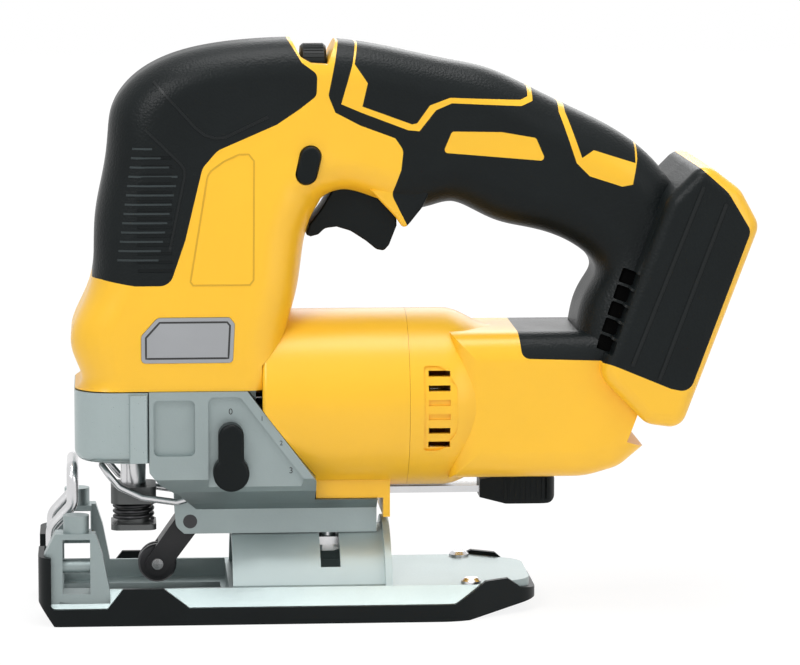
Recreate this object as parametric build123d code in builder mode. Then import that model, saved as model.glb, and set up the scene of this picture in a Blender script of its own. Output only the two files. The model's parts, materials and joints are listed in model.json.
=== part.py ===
from build123d import *
import math
import os

# Cordless top-handle jigsaw, bare tool. Millimetres.
# +X runs back to the battery, +Z is up, the saw cuts towards -X and the left side is -Y.
# The origin lies on the sole, under the middle of the shoe.

# Fits
running_gap = 0.4
shaft_gap = 0.05
seat_gap = 0.1

# Motor, gears and crank
motor_axis_z = 74.5
barrel_radius = 31.5
barrel_wall = 3.2
sleeve_front_x = -10.0
sleeve_rear_x = 41.5
skirt_rear_x = 35.4
skirt_half_width = 15.0
skirt_wall = 3.0
lip_base_z = 33.5
lip_thickness = 2.4
gear_module = 0.75
pinion_teeth = 8
gear_teeth = 48
pressure_angle = 25.0
tooth_backlash = 0.13
tooth_addendum = 0.7
tooth_dedendum = 0.95
flank_points = 4
gear_front_x = -31.0
gear_width = 6.0
counterweight_thickness = 3.0
axle_radius = 4.0
gear_bush_wall = 1.5
axle_head_radius = 6.0
axle_head_thickness = 2.0
shaft_radius = 2.5
bearing_radius = 9.5
bearing_width = 6.0
bearing_plate_front_x = -18.0
bearing_plate_base_z = 60.0
rear_bearing_x = 58.0
rear_bearing_radius = 8.0
rotor_radius = 13.0
stator_front_x = 14.0
stator_rear_x = 44.0
winding_length = 5.0
fan_radius = 24.0
fan_front_x = -4.0
fan_width = 8.0
fan_blades = 11

# Blade drive
stroke = 25.4
plunger_x = -55.0
rod_radius = 4.5
rod_top_z = 133.0
stroke_below_rest = 4.0
clamp_base_z = 28.6
clamp_top_z = 44.0
clamp_length = 16.0
clamp_half_width = 9.0
clamp_flange = 2.0
clamp_head = 6.0
clamp_core_radius = 5.6
clamp_spring_wire = 1.4
clamp_spring_turns = 3
blade_slot_length = 9.0
blade_slot_width = 1.8
blade_slot_depth = 8.0
yoke_half_height = 7.0
yoke_half_width = 18.5
yoke_thickness = 6.0
yoke_collar_radius = 6.2
yoke_case_wall = 2.0
crank_roller_radius = 3.5
crank_pin_radius = 2.0
bush_wall = 3.0
bush_length = 7.5
upper_bush_base_z = 119.0

# Casing
column_half_width = 29.0
handle_half_width = 17.5
casing_wall = 2.6
grip_skin = 2.0
column_base_z = 81.0
joint_overrun = 3.0
rib_count = 14
rib_pitch = 3.0
rib_groove = 1.2
rib_base_z = 122.5
rib_front_x = -53.0
rib_rear_x = -41.0
rib_depth = 0.8
rib_face_y = -28.1
rib_slope = 0.074
screw_radius = 1.7
screw_head_radius = 3.2
screw_head_height = 2.2
screw_boss_radius = 4.4
screw_reach = 9.0
screw_seat = 7.0
rear_boss_depth = 26.0
handle_screw_places = [(-14.0, 158.0, 22.0), (70.0, 165.6, 14.5), (112.0, 156.9, 15.0)]
rear_screw_places = [(105.0, 72.0), (72.0, 60.0)]

# Air vents on the rear cover and louvres on the rear leg
vent_front_x = 48.0
vent_rear_x = 55.6
vent_top_z = 86.3
vent_pitch = 5.0
vent_height = 2.1
vent_count = 6
vent_blind = (2, 3)
vent_recess_depth = 0.7
vent_blind_depth = 1.7
louvre_count = 5
louvre_pitch = 6.1
louvre_bar = 0.9
louvre_width = 5.0

# Rear body, battery foot and bay
rear_half_width = 28.0
rear_floor_z = 48.0
rear_roof_z = 99.8
body_floor_z = 52.0
foot_half_width = 37.0
foot_tilt = 20.6
foot_face_x = 149.65
foot_face_z = 102.75
bay_half_width = 28.0
bay_depth = 15.0
bay_top = 28.0
rail_depth = 3.5
rail_thickness = 3.0
rail_offset = 3.5
terminal_block_height = 7.0
terminal_count = 4

# Gear case and foot rail
gear_case_half_width = 30.0
gear_case_front_x = -49.5
gear_case_wall = 3.0
upper_case_half_width = 22.0
upper_case_front_x = -63.3
upper_case_top_z = 131.0
nose_radius = 16.5
nose_flange_radius = 18.5
nose_flange_z = 54.0
nose_flange_thickness = 1.2
nose_bore = 13.0
rail_half_width = 9.5
rail_front_x = -28.0
rail_rear_x = 31.0
rail_top_z = 40.2

# Orbit action
orbit_pivot_x = -21.1
orbit_pivot_z = 52.5
orbit_hub_radius = 6.3
orbit_shaft_radius = 4.0
orbit_bore_end_y = -10.0
orbit_arm_width = 8.9
orbit_arm_length = 17.5
orbit_lever_thickness = 6.6
pocket_depth = 2.4
fork_pivot_x = -35.1
fork_pivot_z = 31.7
fork_pin_radius = 2.5
fork_half_width = 6.0
fork_plate = 1.8
fork_head_radius = 4.5
fork_eye_radius = 4.2
roller_x = -46.7
roller_z = 15.8
roller_radius = 6.8
roller_half_width = 3.7
roller_groove = 1.2
roller_axle_radius = 2.0

# Blade release lever
lever_front_x = -75.5
lever_half_width = 29.0
lever_end_angle = 130.0
ridge_length = 6.5
ridge_proud = 2.5

# Shoe
sole_thickness = 2.0
cover_wall = 2.0
shoe_front_x = -88.5
shoe_rear_x = 87.0
shoe_half_width = 38.0
deck_z = 11.5
deck_half_width = 29.5
shoe_edge_z = 5.5
blade_slot_half_width = 10.0
throat_half_width = 28.0
throat_front_x = -70.0
throat_rear_x = -22.0
floor_z = 5.0
hump_radius = 28.5
hump_wall = 3.0
hump_front_x = -20.5
hump_rear_x = 33.0
hump_end_radius = 31.5
hump_end_thickness = 2.4
shoe_screw_x = 63.3
shoe_screw_y = 26.0
shoe_screw_radius = 3.6
block_inner_y = 24.0
block_outer_y = 34.0
block_top_z = 32.0
block_boss_z = 38.0
block_boss_radius = 4.5
window_front_x = -80.0
window_rear_x = -70.4
window_base_z = 10.7
window_top_z = 30.0
window_bar_z = 20.0
window_bar_radius = 2.6
guard_wire_radius = 2.0
guard_half_width = 15.0
guard_x = -76.5
guard_top_z = 52.0
finger_wire_radius = 1.2
finger_half_width = 14.0

# Bevel clamp
bevel_pivot_x = 14.0
bevel_bolt_radius = 3.0
bevel_limit = 45.0
bevel_slot_width = 7.0
bevel_boss_radius = 6.0
boss_base_z = 36.0
bolt_head_z = 19.5
bolt_head_radius = 4.0
clamp_plate_radius = 22.3
clamp_plate_half_width = 4.4
knob_front_x = 68.0
knob_half_width = 9.0
bar_half_width = 4.8
bar_thickness = 2.3
bar_end_x = 84.0
knob_length = 27.0
knob_top_z = 47.2
knob_base_z = 36.6

# Controls
trigger_half_width = 9.5
trigger_lean = 22.8
trigger_travel = 6.0
trigger_stem_radius = 4.0
stem_entry = 4.0
lock_x = 6.6
lock_z = 159.0
lock_lean = 13.5
lock_length = 13.4
lock_width = 7.2
lock_proud = 1.6
lock_local_half_width = 22.4
lock_gap = 0.3
dial_x = 9.2
dial_z = 190.0
dial_radius = 10.0
dial_width = 9.0
dial_shaft_radius = 3.0
dial_slot_rear_x = 14.1
dial_wall = 2.5
switch_front_x = 17.0
switch_rear_x = 52.0
switch_base_z = 160.0
switch_top_z = 183.0
switch_half_width = 12.5

# Derived places
crank_z = motor_axis_z + gear_module * (pinion_teeth + gear_teeth) / 2
crank_radius = stroke / 2
crank_drop = crank_radius - stroke_below_rest
crank_pin_z = crank_z - crank_drop
crank_pin_y = math.sqrt(crank_radius**2 - crank_drop**2)
barrel_bore = barrel_radius - barrel_wall
motor_axis = Axis((0, 0, motor_axis_z), (1, 0, 0))
tilt = math.radians(foot_tilt)
foot_plane = Plane(
    origin=(foot_face_x, 0, foot_face_z),
    x_dir=(0, 1, 0),
    z_dir=(math.cos(tilt), 0, -math.sin(tilt)),
)
plate_front_x = shoe_front_x + cover_wall
plate_rear_x = shoe_rear_x - cover_wall
plate_half_width = shoe_half_width - cover_wall
lever_base_z = nose_flange_z + nose_flange_thickness + running_gap
lever_top_z = column_base_z - running_gap
gear_rear_x = gear_front_x + gear_width
lower_bush_base_z = clamp_top_z + stroke - stroke_below_rest + 2 * running_gap
casing_inset = grip_skin + casing_wall
bar_base_z = rail_top_z + seat_gap
trigger_way = Vector(math.sin(math.radians(trigger_lean)), 0, math.cos(math.radians(trigger_lean)))

case_top_z = column_base_z - seat_gap
seam_top = (-15.3, case_top_z)
seam_low = (8.7, 49.0)
skirt_front_x = seam_low[0] + 0.6
bar_top_z = bar_base_z + bar_thickness
bar_slot_top_z = bar_top_z + running_gap
pocket_floor_y = pocket_depth - gear_case_half_width
gear_cavity_low_x = upper_case_front_x + 1.8
gear_cavity_half_width = upper_case_half_width - 2.0
gear_cavity_top_z = upper_bush_base_z - 1.5
bearing_plate_rear_x = bearing_plate_front_x + bearing_width
pin_front_x = gear_case_front_x + yoke_case_wall
yoke_rear_x = pin_front_x + yoke_thickness
pin_rear_x = gear_front_x - running_gap
gear_bore = axle_radius + shaft_gap + gear_bush_wall
clamp_front_x = plunger_x - clamp_length / 2
clamp_rear_x = plunger_x + clamp_length / 2
clamp_head_z = clamp_top_z - clamp_head
flange_top_z = clamp_base_z + clamp_flange
spring_radius = clamp_core_radius + running_gap + clamp_spring_wire / 2
spring_low_z = flange_top_z + clamp_spring_wire / 2 + seat_gap
spring_high_z = clamp_head_z - clamp_spring_wire / 2 - seat_gap
spring_steps = 4 * clamp_spring_turns
lever_back_y = pocket_floor_y - running_gap
arm_end_z = orbit_pivot_z + orbit_arm_length - orbit_arm_width / 2
lever_rear_x = gear_case_front_x - running_gap
fork_inner = fork_half_width - fork_plate
window_middle_x = (window_front_x + window_rear_x) / 2
block_middle_y = (block_inner_y + block_outer_y) / 2
slot_limit = bevel_limit + 8.0
knob_rear_x = knob_front_x + knob_length
lock_end_y = lock_local_half_width + lock_proud
pot_front_x = dial_slot_rear_x + dial_wall
stem_foot = Vector(26.0, 0, 146.0)
stem_reach = (switch_base_z + stem_entry - stem_foot.Z) / trigger_way.Z
stem_head = stem_foot + trigger_way * stem_reach
bore_end = stem_head + trigger_way * (trigger_travel + 2.0)
dial_slot_front_x = dial_x - dial_width / 2 - running_gap
rail_top_v = -rail_offset
rail_base_v = rail_top_v - rail_thickness
trigger_gap_y = trigger_half_width + 2 * running_gap
louvre_plane = Plane(origin=(114.3, -19.5, 107.7), x_dir=(0.943, 0, -0.333), z_dir=(0, -1, 0))

# Column and handle as stations from the front foot over the pommel and back to the battery:
# outer end, inner end, share of the column's extra width, corner radius
stations = [
    ((-75.2, column_base_z), (-3.0, column_base_z), 1.00, 14.0),
    ((-76.0, 94.0), (-2.0, 94.0), 1.00, 14.0),
    ((-74.6, 105.5), (0.0, 105.5), 0.98, 14.5),
    ((-69.8, 116.5), (2.8, 116.0), 0.93, 15.0),
    ((-68.0, 137.0), (5.6, 133.5), 0.80, 15.5),
    ((-64.2, 158.5), (9.8, 143.5), 0.68, 16.0),
    ((-58.3, 184.0), (13.0, 147.4), 0.56, 16.0),
    ((-43.3, 195.2), (17.0, 149.0), 0.46, 15.0),
    ((-17.4, 201.0), (21.0, 149.0), 0.32, 14.5),
    ((9.0, 202.0), (27.0, 147.0), 0.16, 14.0),
    ((32.0, 199.5), (37.0, 143.0), 0.05, 13.5),
    ((58.0, 194.0), (52.0, 143.5), 0.00, 13.5),
    ((84.0, 185.3), (71.7, 138.4), 0.00, 13.5),
    ((108.0, 173.6), (89.0, 134.1), 0.05, 13.5),
    ((126.0, 162.0), (103.0, 127.8), 0.20, 13.5),
    ((141.0, 140.0), (108.3, 119.5), 0.42, 14.0),
    ((136.0, 106.0), (101.7, 103.0), 0.70, 14.0),
    ((128.0, 88.0), (96.0, 92.0), 0.75, 14.0),
]

# Side outlines, each with the corners to round as (index, radius)
rear_outline = [
    (56.0, rear_roof_z),
    (118.0, rear_roof_z),
    (131.5, rear_floor_z + 20.0),
    (126.0, rear_floor_z + 12.0),
    (116.0, rear_floor_z + 3.5),
    (104.0, rear_floor_z),
    (56.0, rear_floor_z),
]
rear_corners = [(2, 11.0), (3, 12.0), (4, 12.0), (5, 30.0)]
foot_outline = [
    (143.5, 160.5),
    (156.5, 150.5),
    (163.2, 138.0),
    (136.3, 66.8),
    (124.0, 68.5),
    (107.0, 86.0),
    (131.0, 148.0),
]
foot_corners = [(0, 6.0), (1, 10.0), (2, 6.5), (3, 6.0), (4, 8.0), (5, 8.0), (6, 10.0)]
foot_edge = 5.0
rear_edge = 10.0

# Soft grip areas in side view
front_grip_outline = [
    (-95.0, 120.5),
    (-66.0, 119.8),
    (-54.0, 117.8),
    (-42.0, 117.8),
    (-36.5, 133.4),
    (-30.3, 158.5),
    (-25.0, 164.5),
    (-4.4, 173.2),
    (3.6, 178.4),
    (9.6, 183.0),
    (9.9, 190.5),
    (4.5, 194.5),
    (-2.5, 206.0),
    (-95.0, 206.0),
]
front_grip_corners = [(3, 5.0), (5, 6.0), (6, 6.0), (9, 3.0), (10, 3.0)]
main_grip_outline = [
    (18.5, 206.0),
    (13.7, 183.0),
    (16.1, 177.1),
    (24.8, 172.5),
    (37.1, 167.9),
    (40.0, 163.7),
    (39.2, 156.7),
    (36.0, 147.9),
    (41.5, 137.0),
    (60.0, 122.0),
    (79.0, 108.0),
    (81.0, 91.2),
    (110.8, 90.2),
    (132.3, 81.3),
    (138.9, 80.0),
    (159.8, 136.4),
    (151.7, 149.9),
    (140.5, 159.8),
    (132.0, 206.0),
]
main_grip_corners = [(1, 3.0), (5, 4.0), (7, 4.0), (11, 3.0), (12, 15.0), (14, 4.5), (15, 4.0), (16, 10.0)]
top_pad_border = [
    (24.6, 206.0),
    (22.2, 193.6),
    (18.2, 180.0),
    (25.2, 177.0),
    (41.6, 170.7),
    (45.6, 170.3),
    (51.4, 177.6),
    (57.0, 180.0),
    (81.5, 178.8),
    (85.6, 180.4),
    (86.4, 206.0),
]
top_pad = [
    (25.4, 206.0),
    (23.0, 193.8),
    (27.5, 187.2),
    (25.6, 179.1),
    (43.0, 172.7),
    (44.8, 173.1),
    (49.3, 179.3),
    (56.3, 181.9),
    (81.2, 180.9),
    (83.9, 182.0),
    (84.6, 206.0),
]
rear_pad_border = [
    (94.6, 206.0),
    (94.9, 176.5),
    (100.8, 158.8),
    (105.4, 154.2),
    (116.7, 150.6),
    (120.4, 151.3),
    (122.4, 160.0),
    (124.5, 206.0),
]
rear_pad = [
    (96.9, 206.0),
    (97.2, 176.5),
    (102.7, 160.6),
    (106.8, 163.3),
    (121.6, 158.6),
    (123.7, 206.0),
]
plain_panel = [(53.9, 162.7), (57.0, 170.1), (74.4, 169.8), (86.5, 167.7), (90.0, 159.6)]
badge_outline = [(-52.0, 91.0), (-52.0, 100.5), (-46.3, 106.8), (-21.4, 106.8), (-19.6, 104.6), (-20.3, 91.0)]
badge_corners = [(0, 1.5), (1, 2.5), (2, 2.5), (3, 1.0), (4, 1.0), (5, 1.5)]
badge_thickness = 1.4
badge_floor_y = 27.8
vent_outline = [(46.4, 59.0), (53.0, 59.0), (58.0, 66.0), (58.0, 82.0), (53.0, 89.0), (46.4, 89.0)]
vent_corners = [(0, 1.0), (1, 5.0), (2, 5.0), (3, 5.0), (4, 5.0), (5, 1.0)]
trigger_lip = [(28.0, 150.0), (37.3, 140.0), (40.3, 135.6), (42.6, 138.0), (47.0, 143.5), (50.0, 150.0)]
trigger_slot = [(3.6, 128.0), (4.6, 146.0), (12.0, 154.0), (45.6, 154.0), (45.6, 128.0)]
dial_notch = [(-1.0, 206.0), (4.4, 196.0), (8.0, 194.0), (13.6, 193.6), (18.6, 206.0)]


def side_point(point):
    return Vector(point[0], 0, point[1])


def grip_body(inset, base_drop=0.0, spare_stations=0, overrun=joint_overrun):
    """Left half of the column and handle, taken in by inset, from a loft over the stations."""
    with BuildPart() as body:
        for index, (outer, inner, share, corner) in enumerate(stations[: len(stations) - spare_stations]):
            drop = Vector(0, 0, base_drop if index == 0 else 0)
            across = side_point(outer) - side_point(inner)
            middle = (side_point(outer) + side_point(inner)) * 0.5 - drop
            half_length = across.length / 2 - inset
            half_width = handle_half_width + share * (column_half_width - handle_half_width) - inset
            radius = corner - inset
            plane = Plane(origin=middle, x_dir=across, z_dir=across.cross(Vector(0, 1, 0)))
            low_side = (-half_length, radius - half_width)
            low_face = (radius - half_length, -half_width)
            high_face = (half_length - radius, -half_width)
            high_side = (half_length, radius - half_width)
            with BuildSketch(plane):
                with BuildLine():
                    Line((half_length, overrun), (-half_length, overrun))
                    Line((-half_length, overrun), low_side)
                    RadiusArc(low_side, low_face, -radius)
                    Line(low_face, high_face)
                    RadiusArc(high_face, high_side, -radius)
                    Line(high_side, (half_length, overrun))
                make_face()
        loft()
    return body.part


def outline_face(points, corners=(), mode=Mode.ADD):
    """Closed outline in the sketch that is open, with the named corners rounded."""
    with BuildSketch(mode=Mode.PRIVATE) as outline:
        with BuildLine():
            Polyline(*points, close=True)
        make_face()
        for index, radius in corners:
            fillet(outline.vertices().sort_by_distance((*points[index], 0))[0], radius)
    add(outline.sketch, mode=mode)


def side_form(points, corners, half_width, edge=0.0, inset=0.0, overrun=joint_overrun):
    """Left half of a moulding from its side outline, taken in by inset, outer edge rounded."""
    with BuildPart() as form:
        with BuildSketch(Plane.XZ.offset(-overrun)):
            outline_face(points, corners)
            if inset > 0:
                offset(amount=-inset)
        extrude(amount=half_width - inset + overrun)
        if edge > inset:
            fillet(form.faces().sort_by(Axis.Y)[0].edges(), edge - inset)
    return form.part


def side_prism(points, near_y, far_y, corners=()):
    """Side outline drawn out from near_y to far_y."""
    with BuildPart() as prism:
        with BuildSketch(Plane.XZ.offset(-far_y)):
            outline_face(points, corners)
        extrude(amount=far_y - near_y)
    return prism.part


def round_bar(start, end, radius):
    """Plain round bar between two points."""
    way = Vector(*end) - Vector(*start)
    with BuildPart() as bar:
        with BuildSketch(Plane(origin=start, z_dir=way)):
            Circle(radius)
        extrude(amount=way.length)
    return bar.part


def block(low, high):
    """Plain block between two corners."""
    size = Vector(*high) - Vector(*low)
    with BuildPart() as solid:
        with Locations((Vector(*low) + Vector(*high)) * 0.5):
            Box(size.X, size.Y, size.Z)
    return solid.part


def plan_prism(points, low_z, high_z, corners=(), grow=0.0):
    """Plan outline drawn up from low_z to high_z, grown by grow."""
    with BuildPart() as prism:
        with BuildSketch(Plane.XY.offset(low_z)):
            outline_face(points, corners)
            if grow > 0:
                offset(amount=grow)
        extrude(amount=high_z - low_z)
    return prism.part


def across_disc(x, z, radius, near_y, far_y):
    """Round disc with its axis along Y."""
    return round_bar((x, far_y, z), (x, near_y, z), radius)


def gear_outline_points(teeth, start_angle):
    """Involute tooth outline, thinned by the backlash, with straight runs between few points."""
    pitch_radius = gear_module * teeth / 2
    base_radius = pitch_radius * math.cos(math.radians(pressure_angle))
    tip_radius = pitch_radius + tooth_addendum * gear_module
    root_radius = pitch_radius - tooth_dedendum * gear_module
    pitch_roll = math.tan(math.radians(pressure_angle)) - math.radians(pressure_angle)
    half_tooth = math.pi / (2 * teeth) - tooth_backlash / (2 * pitch_radius) + pitch_roll
    start_radius = max(base_radius, root_radius)
    flank = [(root_radius, half_tooth)] if root_radius < base_radius else []
    for step in range(flank_points):
        radius = start_radius + (tip_radius - start_radius) * step / (flank_points - 1)
        roll = math.acos(min(1.0, base_radius / radius))
        flank.append((radius, half_tooth - (math.tan(roll) - roll)))
    points = []
    for tooth in range(teeth):
        middle = start_angle + 2 * math.pi * tooth / teeth
        around = [(r, middle - a) for r, a in flank] + [(r, middle + a) for r, a in reversed(flank)]
        points += [(r * math.cos(a), r * math.sin(a)) for r, a in around]
    return points


def ring(front_x, rear_x, centre_z, outer, inner, centre_y=0.0):
    """Plain ring or disc with its axis along X."""
    with BuildPart() as disc:
        with BuildSketch(Plane.YZ.offset(front_x)):
            with Locations((centre_y, centre_z)):
                Circle(outer)
                if inner > 0:
                    Circle(inner, mode=Mode.SUBTRACT)
        extrude(amount=rear_x - front_x)
    return disc.part


def foot_box(half_width, low_v, high_v, low_u, high_u):
    """Block square to the battery face: v out of the face, u up along it."""
    with BuildPart() as box:
        with BuildSketch(foot_plane.offset(low_v)):
            with Locations((0, (low_u + high_u) / 2)):
                Rectangle(2 * half_width, high_u - low_u)
        extrude(amount=high_v - low_v)
    return box.part


def spring_place(step):
    """Point and direction of the clamp spring's middle line after a number of quarter turns."""
    angle = math.pi / 2 * step
    rise = (spring_high_z - spring_low_z) / spring_steps
    point = Vector(
        plunger_x + spring_radius * math.cos(angle),
        spring_radius * math.sin(angle),
        spring_low_z + rise * step,
    )
    way = Vector(-spring_radius * math.sin(angle), spring_radius * math.cos(angle), rise / (math.pi / 2))
    return point, way.normalized()


def save(piece, name):
    piece.label = name
    export_step(piece, f"parts/{name}.step")


os.makedirs("parts", exist_ok=True)

# Casing forms, left half
with BuildPart() as rear_cover:
    with BuildSketch(Plane.XZ) as rear_cover_sketch:
        with BuildLine():
            front = Line((sleeve_rear_x, motor_axis_z), (sleeve_rear_x, motor_axis_z + barrel_radius))
            roof = Line(front @ 1, (54.0, motor_axis_z + barrel_radius))
            shoulder = Spline(
                roof @ 1,
                (63.0, motor_axis_z + barrel_radius - 2.6),
                (72.0, motor_axis_z + barrel_radius - 6.0),
                tangents=[(1, 0), (1, -0.1)],
            )
            back = Line(shoulder @ 1, (72.0, motor_axis_z))
            Line(back @ 1, front @ 0)
        make_face()
    revolve(axis=motor_axis)

rear_forms = [
    side_form(rear_outline, rear_corners, rear_half_width, rear_edge),
    side_form(foot_outline, foot_corners, foot_half_width, foot_edge),
]
grip_form = grip_body(0.0)
lip_form = side_form(trigger_lip, [(2, 1.5), (3, 2.0)], handle_half_width - 2.0, 1.2)
with BuildPart() as casing_form:
    add(rear_forms)
    add(grip_form)
    add(rear_cover.part)
    add(lip_form)

rear_cores = [
    side_form(rear_outline, rear_corners, rear_half_width, rear_edge, grip_skin),
    side_form(foot_outline, foot_corners, foot_half_width, foot_edge, grip_skin),
]
grip_core = grip_body(grip_skin, base_drop=1.0)
with BuildPart() as casing_core:
    add(rear_cores)
    add(grip_core)

with BuildPart() as grip_zone:
    with BuildSketch(Plane.XZ.offset(-2 * joint_overrun)):
        outline_face(front_grip_outline, front_grip_corners)
        outline_face(main_grip_outline, main_grip_corners)
        outline_face(top_pad_border, mode=Mode.SUBTRACT)
        outline_face(rear_pad_border, mode=Mode.SUBTRACT)
        outline_face(plain_panel, [(i, 1.2) for i in range(5)], mode=Mode.SUBTRACT)
        outline_face(top_pad)
        outline_face(rear_pad)
    extrude(amount=foot_half_width + 4 * joint_overrun)
    add(casing_core.part, mode=Mode.SUBTRACT)

with BuildPart() as left_half:
    with Locations((0, -100, 100)):
        Box(600, 200, 400)

with BuildPart() as left_form:
    add(casing_form.part)
    add(left_half.part, mode=Mode.INTERSECT)
with BuildPart() as grips:
    add(left_form.part)
    add(grip_zone.part, mode=Mode.INTERSECT)

with BuildPart() as casing_left:
    add(left_form.part)
    add(grip_zone.part, mode=Mode.SUBTRACT)

# Casing cuts, left half
bay_rail = foot_box(bay_half_width + 1.0, rail_base_v, rail_top_v, -36.5, 20.0)
bay_rail_gap = foot_box(bay_half_width - rail_depth, rail_base_v - 1, rail_top_v + 1, -40.0, 25.0)
with BuildPart() as bay_cut:
    add(foot_box(bay_half_width, -bay_depth, 4.0, -50.0, bay_top))
    add(bay_rail, mode=Mode.SUBTRACT)
    add(bay_rail_gap)
with BuildPart() as body_cut:
    add(block((68.0, -24.0, body_floor_z), (110.0, joint_overrun, rear_roof_z - 4.0)))
    for x, z in rear_screw_places:
        add(across_disc(x, z, screw_boss_radius, -rear_boss_depth, joint_overrun), mode=Mode.SUBTRACT)
with BuildPart() as lock_hole:
    with BuildSketch(Plane.XZ.offset(-joint_overrun)):
        with Locations(Location((lock_x, lock_z), 90.0 - lock_lean)):
            SlotOverall(lock_length + 2 * lock_gap, lock_width + 2 * lock_gap)
    extrude(amount=50.0)
with BuildPart() as badge_recess:
    with BuildSketch(Plane.XZ.offset(badge_floor_y)):
        outline_face(badge_outline, badge_corners)
        offset(amount=seat_gap)
    extrude(amount=20.0)
with BuildPart() as vent_cut:
    with BuildSketch(Plane.YZ.offset(vent_front_x - 2.0)):
        with Locations((0, motor_axis_z)):
            Circle(barrel_radius + 5.0)
            Circle(barrel_radius - vent_recess_depth, mode=Mode.SUBTRACT)
    extrude(amount=vent_rear_x - vent_front_x + 6.0)
    add(side_prism(vent_outline, -50.0, -5.0, vent_corners), mode=Mode.INTERSECT)
    for index in range(vent_count):
        depth = vent_blind_depth if index in vent_blind else 2 * barrel_wall
        middle_z = vent_top_z - vent_pitch * index
        near_y = math.sqrt(barrel_radius**2 - (middle_z - motor_axis_z) ** 2)
        add(block(
            (vent_front_x, -near_y - 3.0, middle_z - vent_height / 2),
            (vent_rear_x, depth - near_y, middle_z + vent_height / 2),
        ))
with BuildPart() as louvres:
    with BuildSketch(louvre_plane):
        with GridLocations(0, louvre_pitch, 1, louvre_count):
            RectangleRounded(louvre_width, louvre_pitch - louvre_bar, 0.6)
    extrude(amount=30.0)
trigger_cut = side_prism(trigger_slot, -trigger_gap_y, joint_overrun)
screw_places = handle_screw_places + [(x, z, rear_boss_depth) for x, z in rear_screw_places]
with BuildPart() as screw_holes:
    for x, z, depth in screw_places:
        add(across_disc(x, z, screw_radius, -screw_reach, joint_overrun))
with BuildPart() as casing_cuts:
    add(ring(sleeve_front_x - seat_gap, sleeve_rear_x, motor_axis_z, barrel_radius + seat_gap, 0))
    add(ring(sleeve_rear_x - 1, rear_bearing_x, motor_axis_z, barrel_bore, 0))
    add(ring(rear_bearing_x - 1, rear_bearing_x + bearing_width, motor_axis_z, rear_bearing_radius, 0))
    add(ring(rear_bearing_x, rear_bearing_x + bearing_width + 1, motor_axis_z, shaft_radius + 0.7, 0))
    add(body_cut.part)
    add(foot_box(32.0, -31.0, -18.5, -24.0, bay_top))
    add(bay_cut.part)
    add([trigger_cut, lock_hole.part, badge_recess.part, vent_cut.part, louvres.part])
    add(screw_holes.part)
    add(side_prism(dial_notch, -50.0, joint_overrun))
    add(block((dial_slot_front_x, -11.0, dial_z - dial_radius - 1), (dial_slot_rear_x, joint_overrun, 206.0)))
    add(ring(dial_slot_rear_x - 1, pot_front_x + 1, dial_z, dial_shaft_radius + seat_gap, 0))
casing_adds = [block((0.5, -12.5, 186.0), (pot_front_x, 0, 198.0))]
for x, z, depth in handle_screw_places:
    casing_adds.append(across_disc(x, z, screw_boss_radius, -depth, 0))
for rib_x in (22.0, 44.0):
    rib_low = (rib_x, -15.0, switch_base_z + 4)
    rib_high = (rib_x + 3, -switch_half_width, switch_top_z - 3)
    casing_adds.append(block(rib_low, rib_high))

with BuildPart() as screw_wells:
    for x, z, depth in screw_places:
        seat_y = depth - screw_seat
        add(across_disc(x, z, screw_radius, -1.0, depth))
        add(across_disc(x, z, screw_head_radius + seat_gap, seat_y, 60.0))
with BuildPart() as housing_screws:
    for x, z, depth in screw_places:
        seat_y = depth - screw_seat
        add(across_disc(x, z, screw_radius, -screw_reach, seat_y))
        add(across_disc(x, z, screw_head_radius, seat_y, seat_y + screw_head_height))
save(housing_screws.part, "housing_screws")

cavity = grip_body(casing_inset, base_drop=4.0, spare_stations=1)
with BuildPart() as housing_left:
    add(casing_left.part)
    add(cavity, mode=Mode.SUBTRACT)
    add(casing_adds)
    add(casing_cuts.part, mode=Mode.SUBTRACT)
save(housing_left.part, "housing_left")
with BuildPart() as housing_right:
    add(mirror(housing_left.part, about=Plane.XZ, mode=Mode.PRIVATE))
    add(screw_wells.part, mode=Mode.SUBTRACT)
save(housing_right.part, "housing_right")

# Soft grips and badges, right side mirrored from the left
rear_pad_skin, top_pad_skin, front_skin, main_skin = grips.part.solids().sort_by(SortBy.VOLUME)
with BuildPart() as main_grip:
    add(main_skin)
    add([trigger_cut, louvres.part], mode=Mode.SUBTRACT)
with BuildPart() as front_grip:
    add(front_skin)
    for index in range(rib_count):
        rib_z = rib_base_z + rib_pitch * index
        rib_y = rib_face_y + (rib_z - rib_base_z) * rib_slope
        add(block(
            (rib_front_x, rib_y - 5.0, rib_z), (rib_rear_x, rib_y + rib_depth, rib_z + rib_groove)
        ), mode=Mode.SUBTRACT)
with BuildPart() as handle_pads:
    add([rear_pad_skin, top_pad_skin])
for piece, name in ((main_grip, "main_grip"), (front_grip, "front_grip"), (handle_pads, "handle_pads")):
    save(piece.part, name + "_left")
    save(mirror(piece.part, about=Plane.XZ), name + "_right")
with BuildPart() as side_badges:
    with BuildSketch(Plane.XZ.offset(badge_floor_y)):
        outline_face(badge_outline, badge_corners)
    extrude(amount=badge_thickness)
    mirror(about=Plane.XZ)
save(side_badges.part, "side_badges")

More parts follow.
